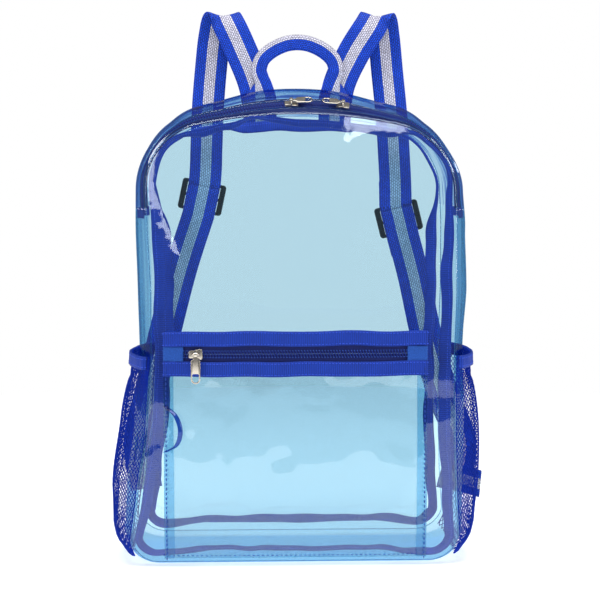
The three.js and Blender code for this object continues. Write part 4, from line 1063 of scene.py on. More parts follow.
class CLEARPACK_OT_main_zip(bpy.types.Operator):
    """Makes the arched zip's tapes, coils and end bands"""

    bl_idname = "clear_pack.main_zip"
    bl_label = "Main zip"

    def execute(self, context):
        form = BodyForm()
        body, trim = sizes().body, sizes().trim
        half = form.travel[-1]
        end = form.turn_at_height(trim.zip_end)
        over = over_the_top(end + body.gap / half, 230)
        tape_top = -body.wall - body.gap
        near = body.gap
        thickness = 0.7 * MM
        tape = woven_band("woven_zip_tape", sizes().finish.zip_tape, pick=1.1, end=0.8, lift=0.3)
        # The tapes meet under the coil
        far = trim.chain / 2 + body.gap + trim.tape
        for side, low, high in (("front", -far, -near), ("rear", near, far)):
            depths = trim.setback + np.linspace(low, high, 6)
            outer, inner = strip_grid(form, over, depths, tape_top, thickness)
            made = wall(f"main_zip_tape_{side}_cloth", outer, inner)
            finish_piece(made, "zip_tape", f"main_zip_tape_{side}", tape)
        line = form.gusset(over, 0 * over + trim.setback, tape_top)
        raised = form.gusset(over, 0 * over + trim.setback, tape_top + 10 * MM)
        zip_coil("main_zip_coil", line, raised - line, "main_zip_chain")
        ribbed = ribbed_band("grosgrain_binding", sizes().finish.binding)
        foot = form.turn_at_height(trim.zip_end - trim.end_band)
        inset = trim.binding + 4 * MM
        depths = np.linspace(inset, body.depth - inset, 26)
        for name, side in (("left", -1), ("right", 1)):
            outer, inner = strip_grid(form, side * np.linspace(end, foot, 6), depths, tape_top, thickness)
            made = wall(f"zip_end_band_{name}", *turned_over(outer, inner))
            finish_piece(made, "binding_tape", f"zip_end_binding_{name}", ribbed)
        return {"FINISHED"}


# Front pocket


# The pocket's left edge has come loose in a small curl. Columns: x, distance out from the sheet, and
# z, in mm
LOOSE_CURL = (
    (-122.7, 1.6, 147),
    (-113, 4.4, 139),
    (-108.6, 5.6, 126),
    (-112, 4.6, 113),
    (-122.7, 1.6, 105.5),
)


def patch_grid(form, xs, zs, lift, thickness, rise=None):
    """Outer and inner points of a patch on the front sheet, over columns of x and rows of z."""
    x, z = np.meshgrid(xs, zs, indexing="xy")
    swell = rise(x, z) if rise else 0
    y = form.front_face(x, z) - lift - swell
    return np.stack([x, y - thickness, z], -1), np.stack([x, y, z], -1)


class CLEARPACK_OT_pocket(bpy.types.Operator):
    """Makes the front pocket's sheet, zip, tapes, tabs and stitched side seams"""

    bl_idname = "clear_pack.pocket"
    bl_label = "Front pocket"

    def execute(self, context):
        form = BodyForm()
        body, pocket, finish = sizes().body, sizes().pocket, sizes().finish
        left, right = pocket.shift - pocket.width / 2, pocket.shift + pocket.width / 2
        zip_z = pocket.zip_height
        lift = 0.9 * MM
        reach = 12.5 * MM
        mouth = zip_z - reach - body.gap
        foot = pocket.foot
        xs = np.linspace(left, right, 90)

        def rise(x, z):
            across = np.clip((x - left) / (right - left), 0, 1)
            up = np.clip((z - foot) / (mouth - foot), 0, 1)
            level = np.minimum(up / 0.88, 1)
            girth = 1 - np.abs(2 * across - 1) ** 4
            body_rise = pocket.bulge * girth * np.sin(math.pi * level**0.8) ** 0.7
            soft = 1.0 * waves(x, 0 * x, z, 0.09, 31, (1.3, 1, 1)) + 0.45 * waves(x, 0 * x, z, 0.035, 32)
            free = smooth(across, 0.0, 0.12) * smooth(1 - across, 0.0, 0.12) * smooth(level, 0, 0.12)
            return body_rise + body.ripple * soft * free * smooth(1 - up, 0.02, 0.14)

        def on_pocket(x, z, out):
            return np.stack([x, form.front_face(x, z) - lift - rise(x, z) - out, z], 1)

        outer, inner = patch_grid(form, xs, np.linspace(foot, mouth, 64), lift, body.film, rise)
        flat = (pocket.width, mouth - foot + 12 * MM)
        film = calendered_clear_pvc("calendered_clear_pvc_pocket", tint=linear("#e6eff3"))
        film_piece("pocket_sheet", outer, inner, "pocket_panel", flat, film, seat="front_sheet")
        # Doubled sheet along the sides
        doubled = calendered_clear_pvc("calendered_clear_pvc_doubled", tint=linear("#d1ebf7"))
        hem_rows, hem_lift = np.linspace(foot, mouth, 50), lift + 0.9 * MM
        for name, start in (("left", left), ("right", right - pocket.side_hem)):
            columns = np.linspace(start, start + pocket.side_hem, 8)
            outer, inner = patch_grid(form, columns, hem_rows, hem_lift, body.film, rise)
            made = wall(f"pocket_side_hem_{name}", outer, inner)
            finish_piece(made, "clear_sheet", None, doubled, cut_pvc_edge())
        curl = curve_through(np.array(LOOSE_CURL) * MM, 1.5 * MM)
        start = on_pocket(curl[:, 0], curl[:, 2], curl[:, 1])
        turned_back = np.array([-4.2 * MM, -1.2 * MM, 0])
        outer = np.stack([start + turned_back * share for share in (0.0, 0.35, 0.7, 1.0)], 1)
        made = wall("pocket_loose_fold", outer, outer + np.array([0, body.film, 0]))
        # Painted shade: the curl's sheet is tinted a deeper blue than the rest of the pocket's sheet
        folded = calendered_clear_pvc("calendered_clear_pvc_folded", tint=linear("#6a98d8"))
        finish_piece(made, "clear_sheet", None, folded, cut_pvc_edge())
        edge = 2.2 * MM
        rows = np.linspace(foot, mouth - 1 * MM, 70)
        seams = [on_pocket(x + 0 * rows, rows, 2.8 * MM) for x in (left + edge, right - edge)]
        thread = nylon("dark_sewing_thread", linear("#0d3590"), 0.45)
        long_stitch = 4.2 * MM
        stitched("pocket_side_stitches", seams, thread, size=(1.6, 0.75, 0.6), pitch=long_stitch)
        base = on_pocket(xs, foot + 2.5 * MM + 0 * xs, 1.0 * MM)
        stitched("pocket_base_stitches", [base], thread, size=(1.5, 0.4, 0.4), pitch=long_stitch)

        tape = woven_band("woven_zip_tape", finish.zip_tape, pick=1.1, end=0.8, lift=0.3)
        near = 0.1 * MM
        for name, low, high in (("upper", near, reach), ("lower", -reach, -near)):
            outer, inner = patch_grid(form, xs, zip_z + np.linspace(low, high, 6), lift, 0.7 * MM)
            made = wall(f"pocket_zip_tape_{name}_cloth", *turned_over(outer, inner))
            finish_piece(made, "zip_tape", f"pocket_zip_tape_{name}", tape)
        line = np.stack([xs, form.front_face(xs, zip_z + 0 * xs) - lift - 0.9 * MM, zip_z + 0 * xs], 1)
        zip_coil("pocket_zip_coil", line, np.repeat([[0.0, -1.0, 0.0]], len(xs), 0), "pocket_zip_chain")

        ribbed = ribbed_band("grosgrain_binding", finish.binding)
        band = pocket.band
        band_lift = 2.4 * MM
        half_thick = 0.55 * MM
        share = np.linspace(0, 1, 9)
        x = np.linspace(left, right, 120)[:, None] + 0 * share[None, :]
        half = half_thick * np.sqrt(np.clip(1 - np.abs(2 * share - 1) ** 6, 0.15, 1))[None, :]
        stitch_rows = []
        for name, low in (("upper", zip_z + band / 2), ("lower", zip_z - band * 1.5)):
            z = low + band * share[None, :] + 0.5 * MM * waves(x, 0 * x, 0 * x + low, 0.08, 41)
            y = form.front_face(x, z) - band_lift - half_thick - 0.25 * MM * waves(x, 0 * x, z, 0.03, 42)
            outer = np.stack([x, y - half, z], -1)
            made = wall(f"pocket_{name}_band", outer, np.stack([x, y + half, z], -1))
            finish_piece(made, "binding_tape", f"pocket_{name}_binding", ribbed)
            stitch_rows += [outer[:, column] - np.array([0, 0.1 * MM, 0]) for column in (1, 7)]
        stitched("pocket_band_stitches", stitch_rows, size=(1.15, 0.3, 0.3))

        tab_cloth = woven_band("woven_tab_cloth", finish.tab, pick=0.9, end=0.7, lift=0.25)
        tab_half = band / 2 - body.gap
        tab_rows = zip_z + np.linspace(-tab_half, tab_half, 8)
        for name, start in (("left", left), ("right", right - pocket.tab)):
            columns = np.linspace(start, start + pocket.tab, 14)
            outer, inner = patch_grid(form, columns, tab_rows, 2.3 * MM, 0.8 * MM)
            made = wall(f"pocket_zip_tab_{name}_cloth", *turned_over(outer, inner))
            finish_piece(made, "binding_tape", f"pocket_zip_tab_{name}", tab_cloth)
        return {"FINISHED"}


# Sliders and pulls


def plate(name, loops, thickness, rounding, place):
    """A flat plate with rounded edges from loops in its own plane, put in place by a 4 x 4 matrix."""
    curve = bpy.data.curves.new(name, "CURVE")
    curve.dimensions = "2D"
    curve.fill_mode = "BOTH"
    curve.extrude = thickness / 2 - rounding
    curve.bevel_depth = rounding
    curve.bevel_resolution = 2
    curve.offset = -rounding
    for loop in loops:
        spline = curve.splines.new("POLY")
        spline.points.add(len(loop) - 1)
        for point, (x, y) in zip(spline.points, loop):
            point.co = (x, y, 0, 1)
        spline.use_cyclic_u = True
    source = linked(name + "_curve", curve)
    state = bpy.context.evaluated_depsgraph_get()
    state.update()
    mesh = bpy.data.meshes.new_from_object(source.evaluated_get(state))
    bpy.data.objects.remove(source)
    mesh.transform(place)
    return tidied(name, mesh)


def tidied(name, mesh):
    """Merges a mesh's doubles, turns it to face outward and makes it an object."""
    mesh.name = name
    mesh.materials.clear()
    whole = bmesh.new()
    whole.from_mesh(mesh)
    bmesh.ops.remove_doubles(whole, verts=whole.verts, dist=2e-6)
    bmesh.ops.recalc_face_normals(whole, faces=whole.faces)
    if whole.calc_volume(signed=True) < 0:
        bmesh.ops.reverse_faces(whole, faces=whole.faces)
    for face in whole.faces:
        face.smooth = True
        face.material_index = 0
    for edge in whole.edges:
        if len(edge.link_faces) == 2 and edge.calc_face_angle(0) > math.radians(38):
            edge.smooth = False
    whole.to_mesh(mesh)
    whole.free()
    return linked(name, mesh)


def joined(name, pieces):
    """One object from several plain ones."""
    whole = bmesh.new()
    for piece in pieces:
        whole.from_mesh(piece.data)
        bpy.data.objects.remove(piece)
    mesh = bpy.data.meshes.new(name)
    whole.to_mesh(mesh)
    whole.free()
    return linked(name, mesh)


def arc_points(x, y, radius, start, end, count):
    angles = np.radians(np.linspace(start, end, count))
    return [(x + radius * math.cos(a), y + radius * math.sin(a)) for a in angles]


def placed(columns, origin):
    """A 4 x 4 matrix from three axes and an origin."""
    matrix = Matrix.Identity(4)
    for i, column in enumerate(columns):
        matrix.col[i][:3] = column
    matrix.col[3][:3] = origin
    return matrix


# Height of a slider's bridge above its seat, where its pull hangs, in mm
BRIDGE_HEIGHT = 4.7


def slider_piece(name, node, frame_of, along_zip):
    """A slider: two shield-shaped plates, a neck between them, side rails and the arched bridge."""
    half, wide, waist = 6.0 * MM, 4.7 * MM, 3.4 * MM
    shield = [(-half, -waist + 0.8 * MM), (-half + 0.8 * MM, -waist), (0, -waist)]
    shield += [(half * 0.35, -wide * 0.93), (half * 0.6, -wide), (half * 0.85, -wide * 0.93), (half, -waist)]
    shield += [(x, -y) for x, y in reversed(shield)]
    metal = nickel_plated_zinc()

    def layer(title, loop, height, thick, rounding):
        """A plate of the slider, its middle at that height in mm."""
        place = frame_of @ Matrix.Translation((0, 0, height * MM))
        return plate(title, [loop], thick * MM, rounding * MM, place)

    pieces = [layer("shield", shield, height, 0.9, 0.28) for height in (0.45, 1.65)]
    neck = arc_points(half * 0.55, 0, 1.3 * MM, 0, 330, 12)
    pieces.append(layer("neck", neck, 1.05, 1.4, 0.1))
    for side in (-1, 1):
        rail = [(x * MM, side * y * MM) for x, y in ((0.2, 3.7), (5.4, 3.9), (5.4, 4.6), (0.2, 4.4))]
        pieces.append(layer("rail", rail[::side], 1.05, 1.6, 0.1))
    reach, top = 3.2, BRIDGE_HEIGHT
    arch = [(-reach, 1.4), (-reach, 3.3), (-reach * 0.8, top - 0.25), (0, top)]
    arch += [(-x, z) for x, z in arch[2::-1]]
    spots = [(x, 0, z) if along_zip else (0, x, z) for x, z in arch]
    points = [tuple(frame_of @ (Vector(spot) * MM)) for spot in spots]
    line = resampled(np.array(points), 0.5 * MM)
    bridge = grown("bridge", [line], strands_tree(), metal, Radius=0.8 * MM, Sides=10)
    bridge.data.materials.clear()
    finish_piece(joined(name, [*pieces, bridge]), "zip_metal", node, metal)


def pull_piece(name, node, body, frame_of, full):
    """A pull: a knuckle round the bridge, a plain tongue and an open loop at its end."""
    half, neck_half = 4.2 * MM, 1.8 * MM
    start, shoulder = 1.5 * MM, 3.7 * MM
    end = full - half
    outline = [(start, -neck_half), (shoulder, -neck_half), (shoulder + 1.2 * MM, -half * 0.86)]
    outline += [(shoulder + 2.2 * MM, -half)]
    outline += arc_points(end, 0, half, -90, 90, 20) + [(x, -y) for x, y in reversed(outline)]
    inner = half - 1.25 * MM
    opening = full * 0.66
    hole = [(opening, inner * 0.75), (opening, -inner * 0.75), (opening + 0.6 * MM, -inner)]
    hole += arc_points(end, 0, inner, -90, 90, 16) + [(opening + 0.6 * MM, inner)]
    tongue = plate("tongue", [outline, hole], 1.3 * MM, 0.32 * MM, frame_of)
    ring = Matrix.Rotation(math.pi / 2, 4, "X")
    rim, bore = arc_points(0, 0, 2.1 * MM, 0, 345, 24), arc_points(0, 0, 1.1 * MM, 0, 340, 18)
    knuckle = plate("knuckle", [rim, bore], 3.4 * MM, 0.25 * MM, frame_of @ ring)
    finish_piece(joined(name, [tongue, knuckle]), "zip_metal", node, nickel_plated_zinc(), body=body)


def main_slider_frame(form, place):
    """The slider's own axes on the main zip: along the zip, across it and away from the bag."""
    trim, body = sizes().trim, sizes().body
    turn = form.last_turn(form.turn_at_height(trim.zip_end), lambda spot: spot[0] > abs(place))
    turn = np.array([turn if place > 0 else -turn])
    spot = form.station(turn)
    top = -body.wall - body.gap + 0.5 * MM + body.gap * 1.5
    seat, base, above = (form.gusset(turn, trim.setback, raised)[0] for raised in (top, 0.0, 10 * MM))
    up = Vector(above - base).normalized()
    along = Vector((spot["nz"][0], 0, -spot["nx"][0])).normalized()
    return placed((along, up.cross(along), up), seat)


class CLEARPACK_OT_sliders(bpy.types.Operator):
    """Makes the sliders and their pulls"""

    bl_idname = "clear_pack.sliders"
    bl_label = "Sliders and pulls"

    def execute(self, context):
        form = BodyForm(calm=True)
        _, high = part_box("pocket_slider")
        seat = (sizes().pocket.slider, high.y, sizes().pocket.zip_height)
        pocket = placed(((1, 0, 0), (0, 0, 1), (0, -1, 0)), seat)
        axis_rise = Matrix.Translation((0, 0, BRIDGE_HEIGHT * MM))
        slider_piece("pocket_slider_body", "pocket_slider", pocket, True)
        turned = pocket @ axis_rise @ Matrix.Rotation(-math.pi / 2, 4, "Z")
        pull_piece("pocket_pull_tab", "pocket_pull", "pocket_pull", turned, 26 * MM)
        for side, place, turn in (("left", -11 * MM, 0.0), ("right", 34 * MM, math.pi)):
            seat = main_slider_frame(form, place)
            slider_piece(f"main_slider_{side}_body", f"main_slider_{side}", seat, False)
            turned = seat @ axis_rise @ Matrix.Rotation(turn, 4, "Z")
            pull = f"main_pull_{side}"
            pull_piece(f"{pull}_tab", pull, pull, turned, 19 * MM)
        return {"FINISHED"}


# Net pockets


def net_spot(form, side, across, up, raised=0.0):
    """A point of a side net: across from front to back and up from its foot to its mouth, as shares."""
    net, body = sizes().net, sizes().body
    low, high = form.turn_at_height(net.foot), form.turn_at_height(net.height)
    turn = side * (low + (high - low) * up)
    footing = np.minimum(9 * np.maximum(up, 0), 1) ** 0.6
    shares = np.linspace(0, 1, 200)
    arch = np.sin(math.pi * np.sqrt(shares)) ** 0.7
    travel = lengths(np.stack([shares * (body.depth - 2 * net.edge), 2.2 * net.standoff * arch], 1))
    across = np.interp(across, travel / travel[-1], shares)
    girth = np.interp(across, shares, arch)
    depth = net.edge + (body.depth - 2 * net.edge) * across
    fullness = 0.45 + 0.55 * np.sin(math.pi * np.minimum(1.15 * np.clip(up, 0, 1), 1)) ** 0.6
    lift = 0.9 * MM + 2.4 * MM * (1 - footing) + 0.95 * net.standoff * girth * fullness * footing
    return form.gusset(turn, depth, lift + raised)


class CLEARPACK_OT_nets(bpy.types.Operator):
    """Makes the knitted side pockets and the tapes along their mouths"""

    bl_idname = "clear_pack.nets"
    bl_label = "Net pockets"

    def execute(self, context):
        form = BodyForm()
        net, body = sizes().net, sizes().body
        half_cell = net.cell / 2
        girth = (body.depth - 2 * net.edge) * 1.3
        strands = int(girth / half_cell)
        rise = net.height - net.foot
        periods = int(rise / (net.cell * 0.82))
        tape = ribbed_band("grosgrain_binding", sizes().finish.binding)
        for name, side in (("left", -1), ("right", 1)):
            chance = np.random.default_rng(50 + side)
            lines = []
            step = np.linspace(0, 1, periods * 2 + 1)
            zigzag = np.where(np.arange(len(step)) % 2, 1.0, -1.0)
            slack = 0.12 * np.cumsum(chance.normal(size=len(step))) * 0.35
            for k in range(strands + 1):
                sway = zigzag * (1 if k % 2 else -1) * 0.5 + slack
                across = np.clip((k + sway) / strands, 0, 1)
                lines.append(net_spot(form, side, across, step))
            lines += [net_spot(form, side, edge + 0 * step, step) for edge in (0.0, 1.0)]
            yarn = knitted_polyester_yarn()
            made = grown(f"net_pocket_{name}", lines, strands_tree(), yarn, Radius=net.yarn / 2, Sides=4)
            finish_piece(made, "net", f"mesh_pocket_{name}")
            mouth = np.linspace(1 - net.binding / rise, 1.0, 6)
            across, up = np.meshgrid(np.linspace(0, 1, 60), mouth, indexing="ij")
            outer, inner = (net_spot(form, side, across, up, raised) for raised in (2.8 * MM, 1.4 * MM))
            band = wall(f"net_mouth_tape_{name}", outer, inner)
            finish_piece(band, "binding_tape", f"mesh_binding_{name}", tape)
            rows = [outer[:, 1], outer[:, 4]]
            stitched(f"net_mouth_stitches_{name}", rows, size=(1.15, 0.3, 0.3))
        return {"FINISHED"}


# Webbing

# Columns: across as a share of the half width, behind the back seam as a share of the depth, and
# share of the height
UPPER_ROUTES = {
    "left": (
        (-0.28, 0.044, 0.975),
        (-0.32, 0.046, 1.07),
        (-0.42, 0.046, 1.155),
        (-0.505, 0.05, 1.215),
        (-0.54, 0.09, 1.235),
        (-0.58, 0.14, 1.228),
        (-0.61, 0.18, 1.19),
        (-0.635, 0.18, 1.12),
        (-0.66, 0.15, 1.02),
        (-0.672, 0.12, 0.92),
        (-0.677, 0.115, 0.875),
    ),
    "right": (
        (0.25, 0.044, 0.975),
        (0.28, 0.046, 1.07),
        (0.39, 0.046, 1.15),
        (0.505, 0.05, 1.21),
        (0.555, 0.09, 1.235),
        (0.59, 0.14, 1.228),
        (0.615, 0.18, 1.19),
        (0.64, 0.18, 1.11),
        (0.672, 0.15, 1.0),
        (0.69, 0.12, 0.9),
        (0.7, 0.115, 0.835),
    ),
}
# The same three shares, then the tilt in degrees
LOCKS = {"left": (-0.705, 0.12, 0.81, 12), "right": (0.725, 0.12, 0.757, -14)}
LOWER_ROUTES = {
    "left": (
        (-0.857, 0.11, 0.64),
        (-0.98, 0.1, 0.485),
        (-1.09, 0.09, 0.34),
        (-1.17, 0.07, 0.22),
        (-1.12, 0.045, 0.11),
    ),
    "right": (
        (0.835, 0.11, 0.62),
        (0.935, 0.1, 0.47),
        (1.06, 0.09, 0.33),
        (1.19, 0.07, 0.21),
        (1.12, 0.045, 0.1),
    ),
}

# The right lower strap's end, sewn flat across the side seam: its two ends, in metres
SEWN_END = ((0.15, 0.064, 0.056), (0.1742, 0.04, 0.0525))

# How far a strap stands from its lock's bar where it bends round it, on either side
LOCK_BEND = 3.4 * MM

# Handle: across as a share of the half spread, share of the rise, how far it is folded
HANDLE_LEG = (
    (-1.0, 0.0, 0.0),
    (-1.0, 0.36, 0.05),
    (-1.02, 0.5, 0.4),
    (-1.04, 0.66, 0.9),
    (-0.93, 0.79, 1.0),
    (-0.68, 0.89, 1.0),
    (-0.34, 0.96, 1.0),
    (-0.1, 0.98, 1.0),
)


def strap_spot(row):
    body = sizes().body
    across, behind, height = row[:3]
    return np.array([across * body.width / 2, body.depth / 2 + behind * body.depth, height * body.height])


def curve_through(points, step):
    """An even line through points, by the centripetal Catmull-Rom rule."""
    points = np.asarray(points, float)
    padded = np.vstack([2 * points[0] - points[1], points, 2 * points[-1] - points[-2]])
    made = []
    for i in range(1, len(padded) - 2):
        p = padded[i - 1 : i + 3]
        knots = np.concatenate([[0], np.cumsum(np.linalg.norm(np.diff(p, axis=0), axis=1) ** 0.5)])
        t = np.linspace(knots[1], knots[2], 24, endpoint=i == len(padded) - 3)[:, None]

        def blend(a, b, low, high):
            return ((high - t) * a + (t - low) * b) / (high - low)

        a1, a2, a3 = (blend(p[j], p[j + 1], knots[j], knots[j + 1]) for j in range(3))
        b1, b2 = blend(a1, a2, knots[0], knots[2]), blend(a2, a3, knots[1], knots[3])
        made.append(blend(b1, b2, knots[1], knots[2]))
    return resampled(np.vstack(made), step)


def band_grid(centres, across, normal, fold=0.0):
    """Both faces of a band of webbing, its width bent in half where it is folded."""
    width, thickness = sizes().webbing.width, sizes().webbing.thickness
    share = np.linspace(-1, 1, 17)
    fold = (fold + np.zeros(len(centres)))[:, None, None]
    half = width / 2
    flat = np.stack([share * half, 0 * share], -1)
    # Shares of the half width over which the fold bends and its two leaves part
    bend, parting = 0.09, 0.12
    bent = -half / 2 + (np.sqrt(share**2 + bend**2) - bend) * half
    bent = np.stack([bent, np.tanh(share / parting) * thickness * 0.62], -1)
    section = flat[None] * (1 - fold) + bent[None] * fold
    slope = unit(np.gradient(section, axis=1))
    edge = np.sqrt(np.clip(1 - np.abs(share) ** 14, 0.25, 1))[None, :, None] * thickness / 2
    facing = np.stack([-slope[..., 1], slope[..., 0]], -1) * edge

    def placed_at(points):
        return centres[:, None] + across[:, None] * points[..., :1] + normal[:, None] * points[..., 1:]

    return placed_at(section + facing), placed_at(section - facing)


def band_frames(line, tilt):
    """The width and face directions of a band along a line, its width turned from level by a tilt."""
    ahead = unit(np.gradient(line, axis=0))
    level = np.stack([np.cos(tilt), 0 * tilt, -np.sin(tilt)], -1)
    across = unit(level - ahead * np.sum(level * ahead, 1)[:, None])
    return across, np.cross(ahead, across)


def lock_turned(name, points):
    """Points of a lock's own frame, in place."""
    tilt = math.radians(LOCKS[name][3])
    x, y, z = np.asarray(points, float).T
    cos, sin = math.cos(tilt), math.sin(tilt)
    return np.stack([x * cos + z * sin, y, z * cos - x * sin], -1) + strap_spot(LOCKS[name])


def lock_arc(height, start, end):
    """A strap's bend round a lock's bar at that height, in the lock's own frame."""
    angles = np.linspace(start, end, 15)
    return np.stack([0 * angles, -LOCK_BEND * np.cos(angles), height + LOCK_BEND * np.sin(angles)], -1)


def strap_webbing():
    finish, webbing = sizes().finish, sizes().webbing
    return woven_band("woven_polypropylene_webbing", finish.webbing, finish.stripe, webbing.stripe, 2.8, 1.8)


def webbing_piece(name, node, line, tilt, narrowed=1.0):
    """A band of webbing along a line, its width turned from level by a tilt."""
    across, normal = band_frames(line, tilt + np.zeros(len(line)))
    made = wall(name, *band_grid(line, across * narrowed, normal))
    finish_piece(made, "webbing", node, strap_webbing())


class CLEARPACK_OT_straps(bpy.types.Operator):
    """Makes the shoulder straps, the lower straps and the ladder locks between them"""

    bl_idname = "clear_pack.straps"
    bl_label = "Straps and buckles"

    def execute(self, context):
        webbing = sizes().webbing
        top_bar = webbing.lock_height / 2 - 1.6 * MM
        behind = np.array([0, 2 * LOCK_BEND, 0])
        # Distance between a strap's points, and how many of them its hem and its free end have
        step, hem, free_end = 2 * MM, 12, 22
        # Height in the lock at which the lower strap turns over
        drawn_up = 7 * MM
        for name in ("left", "right"):
            tilt = math.radians(LOCKS[name][3])
            turn = lock_turned(name, lock_arc(top_bar, 0, -math.pi))
            route = [strap_spot(row) for row in UPPER_ROUTES[name]]
            main = curve_through([*route, turn[0]], step)
            # The hem goes back up behind the strap
            tail = main[-hem - 1 : -1][::-1] + behind
            line = np.vstack([main, turn[1:], tail[1:]])
            share = np.linspace(0, 1, len(main))
            tilts = tilt * smooth(share, 0.8, 0.95)
            back = np.concatenate([np.full(len(turn) - 1, tilts[-1]), tilts[-hem - 1 : -1][::-1][1:]])
            strap = f"shoulder_strap_{name}"
            webbing_piece(f"{strap}_webbing", strap, line, np.concatenate([tilts, back]))

            # The strap is drawn up to the top bar and fills the slot
            over = lock_turned(name, lock_arc(drawn_up, math.pi, 0))
            leave = lock_turned(name, [(0, -LOCK_BEND, -webbing.lock_height / 2 - 3.2 * MM)])
            route = [strap_spot(row) for row in LOWER_ROUTES[name]]
            drop = resampled(np.vstack([over[-1:], leave]), step)
            run = np.vstack([drop[:-1], curve_through([leave[0], *route], step)])
            # The free end hangs down behind the strap
            tail = run[:free_end][::-1] + behind
            line = np.vstack([tail[:-1], over, run[1:]])
            strap = f"lower_strap_{name}"
            webbing_piece(f"{strap}_webbing", strap, line, tilt)
            if name == "right":
                # The sewn end shows past the net, a little narrowed by its seam
                line = np.linspace(*SEWN_END, 12)
                webbing_piece("lower_strap_end_right_webbing", None, line, math.pi / 2, 0.86)
            lock = f"ladder_lock_{name}"
            finish_piece(self.ladder_lock(f"{lock}_body", name), "buckle", lock, moulded_acetal())
        return {"FINISHED"}

    def ladder_lock(self, title, name):
        """A frame with two slots and a bar between them."""
        webbing = sizes().webbing
        half, tall, corner = webbing.lock_width / 2, webbing.lock_height / 2, 3 * MM
        outline = []
        for x, y, start in ((1, -1, -90), (1, 1, 0), (-1, 1, 90), (-1, -1, 180)):
            outline += arc_points(x * (half - corner), y * (tall - corner), corner, start, start + 90, 8)
        inner, bar = webbing.width / 2 + 0.6 * MM, 3.2 * MM
        slots = []
        for low, high in ((bar / 2, tall - bar), (-tall + bar, -bar / 2)):
            slots.append([(-inner, low), (-inner, high), (inner, high), (inner, low)])
        tilt = math.radians(LOCKS[name][3])
        columns = ((math.cos(tilt), 0, -math.sin(tilt)), (math.sin(tilt), 0, math.cos(tilt)), (0, -1, 0))
        place = placed(columns, strap_spot(LOCKS[name]))
        return plate(title, [outline, *slots], webbing.lock_thickness, 0.9 * MM, place)


class CLEARPACK_OT_handle(bpy.types.Operator):
    """Makes the haul handle, folded in half over its top"""

    bl_idname = "clear_pack.handle"
    bl_label = "Haul handle"

    def execute(self, context):
        form = BodyForm(calm=True)
        body, webbing, trim = sizes().body, sizes().webbing, sizes().trim
        z = body.height - trim.binding
        y = float(form.back_face(0.0, z)) + body.wall + body.gap + webbing.thickness / 2
        rows = np.array(HANDLE_LEG + tuple((-a, r, f) for a, r, f in reversed(HANDLE_LEG)))
        x = -2 * MM + rows[:, 0] * webbing.handle_spread / 2
        spots = np.stack([x, y + 0 * x, z + rows[:, 1] * webbing.handle_rise], -1)
        line = curve_through(spots, 1.5 * MM)
        travel, marks = lengths(line), lengths(spots)
        fold = np.interp(travel / travel[-1], marks / marks[-1], rows[:, 2])
        ahead = unit(np.gradient(line, axis=0))
        across = np.stack([ahead[:, 2], 0 * travel, -ahead[:, 0]], -1)
        normal = np.repeat([[0.0, -1.0, 0.0]], len(line), 0)
        made = wall("haul_handle_webbing", *band_grid(line, across, normal, fold))
        finish_piece(made, "webbing", "haul_handle", strap_webbing())
        return {"FINISHED"}


# Studio


def softbox(name, place, target, width, height, brightness):
    """An area light of that radiance, which the camera doesn't see."""
    light = bpy.data.lights.new(name, "AREA")
    light.shape = "RECTANGLE"
    light.size, light.size_y = width, height
    light.energy = brightness * math.pi * width * height
    made = linked(name, light)
    made.location = place
    made.rotation_euler = (Vector(target) - Vector(place)).to_track_quat("-Z", "Y").to_euler()
    made.visible_camera = False
    return made


@material
def white_floor_board(tree):
    """A matt painted board that gives some light of its own."""
    white = (0.86, 0.87, 0.88, 1.0)
    paint = {"Base Color": white, "Roughness": 0.9, "Emission Color": white, "Emission Strength": 0.5}
    return add(tree, "ShaderNodeBsdfPrincipled", paint).outputs[0]


def round_floor(radius, thickness, sides=64):
    """A round board just under the ground, its edge in flat sides."""
    top = -1 * MM
    turns = np.linspace(0, 2 * math.pi, sides, endpoint=False)
    rim = [(radius * math.cos(a), radius * math.sin(a)) for a in turns]
    points = [(x, y, z) for z in (top, top - thickness) for x, y in rim]
    faces = [list(range(sides)), list(range(2 * sides - 1, sides - 1, -1))]
    faces += [(i, sides + i, sides + (i + 1) % sides, (i + 1) % sides) for i in range(sides)]
    floor = made_mesh("studio_floor", points, faces)
    floor.data.polygons.foreach_set("use_smooth", [False] * len(floor.data.polygons))
    floor.data.materials.append(white_floor_board())
    return floor


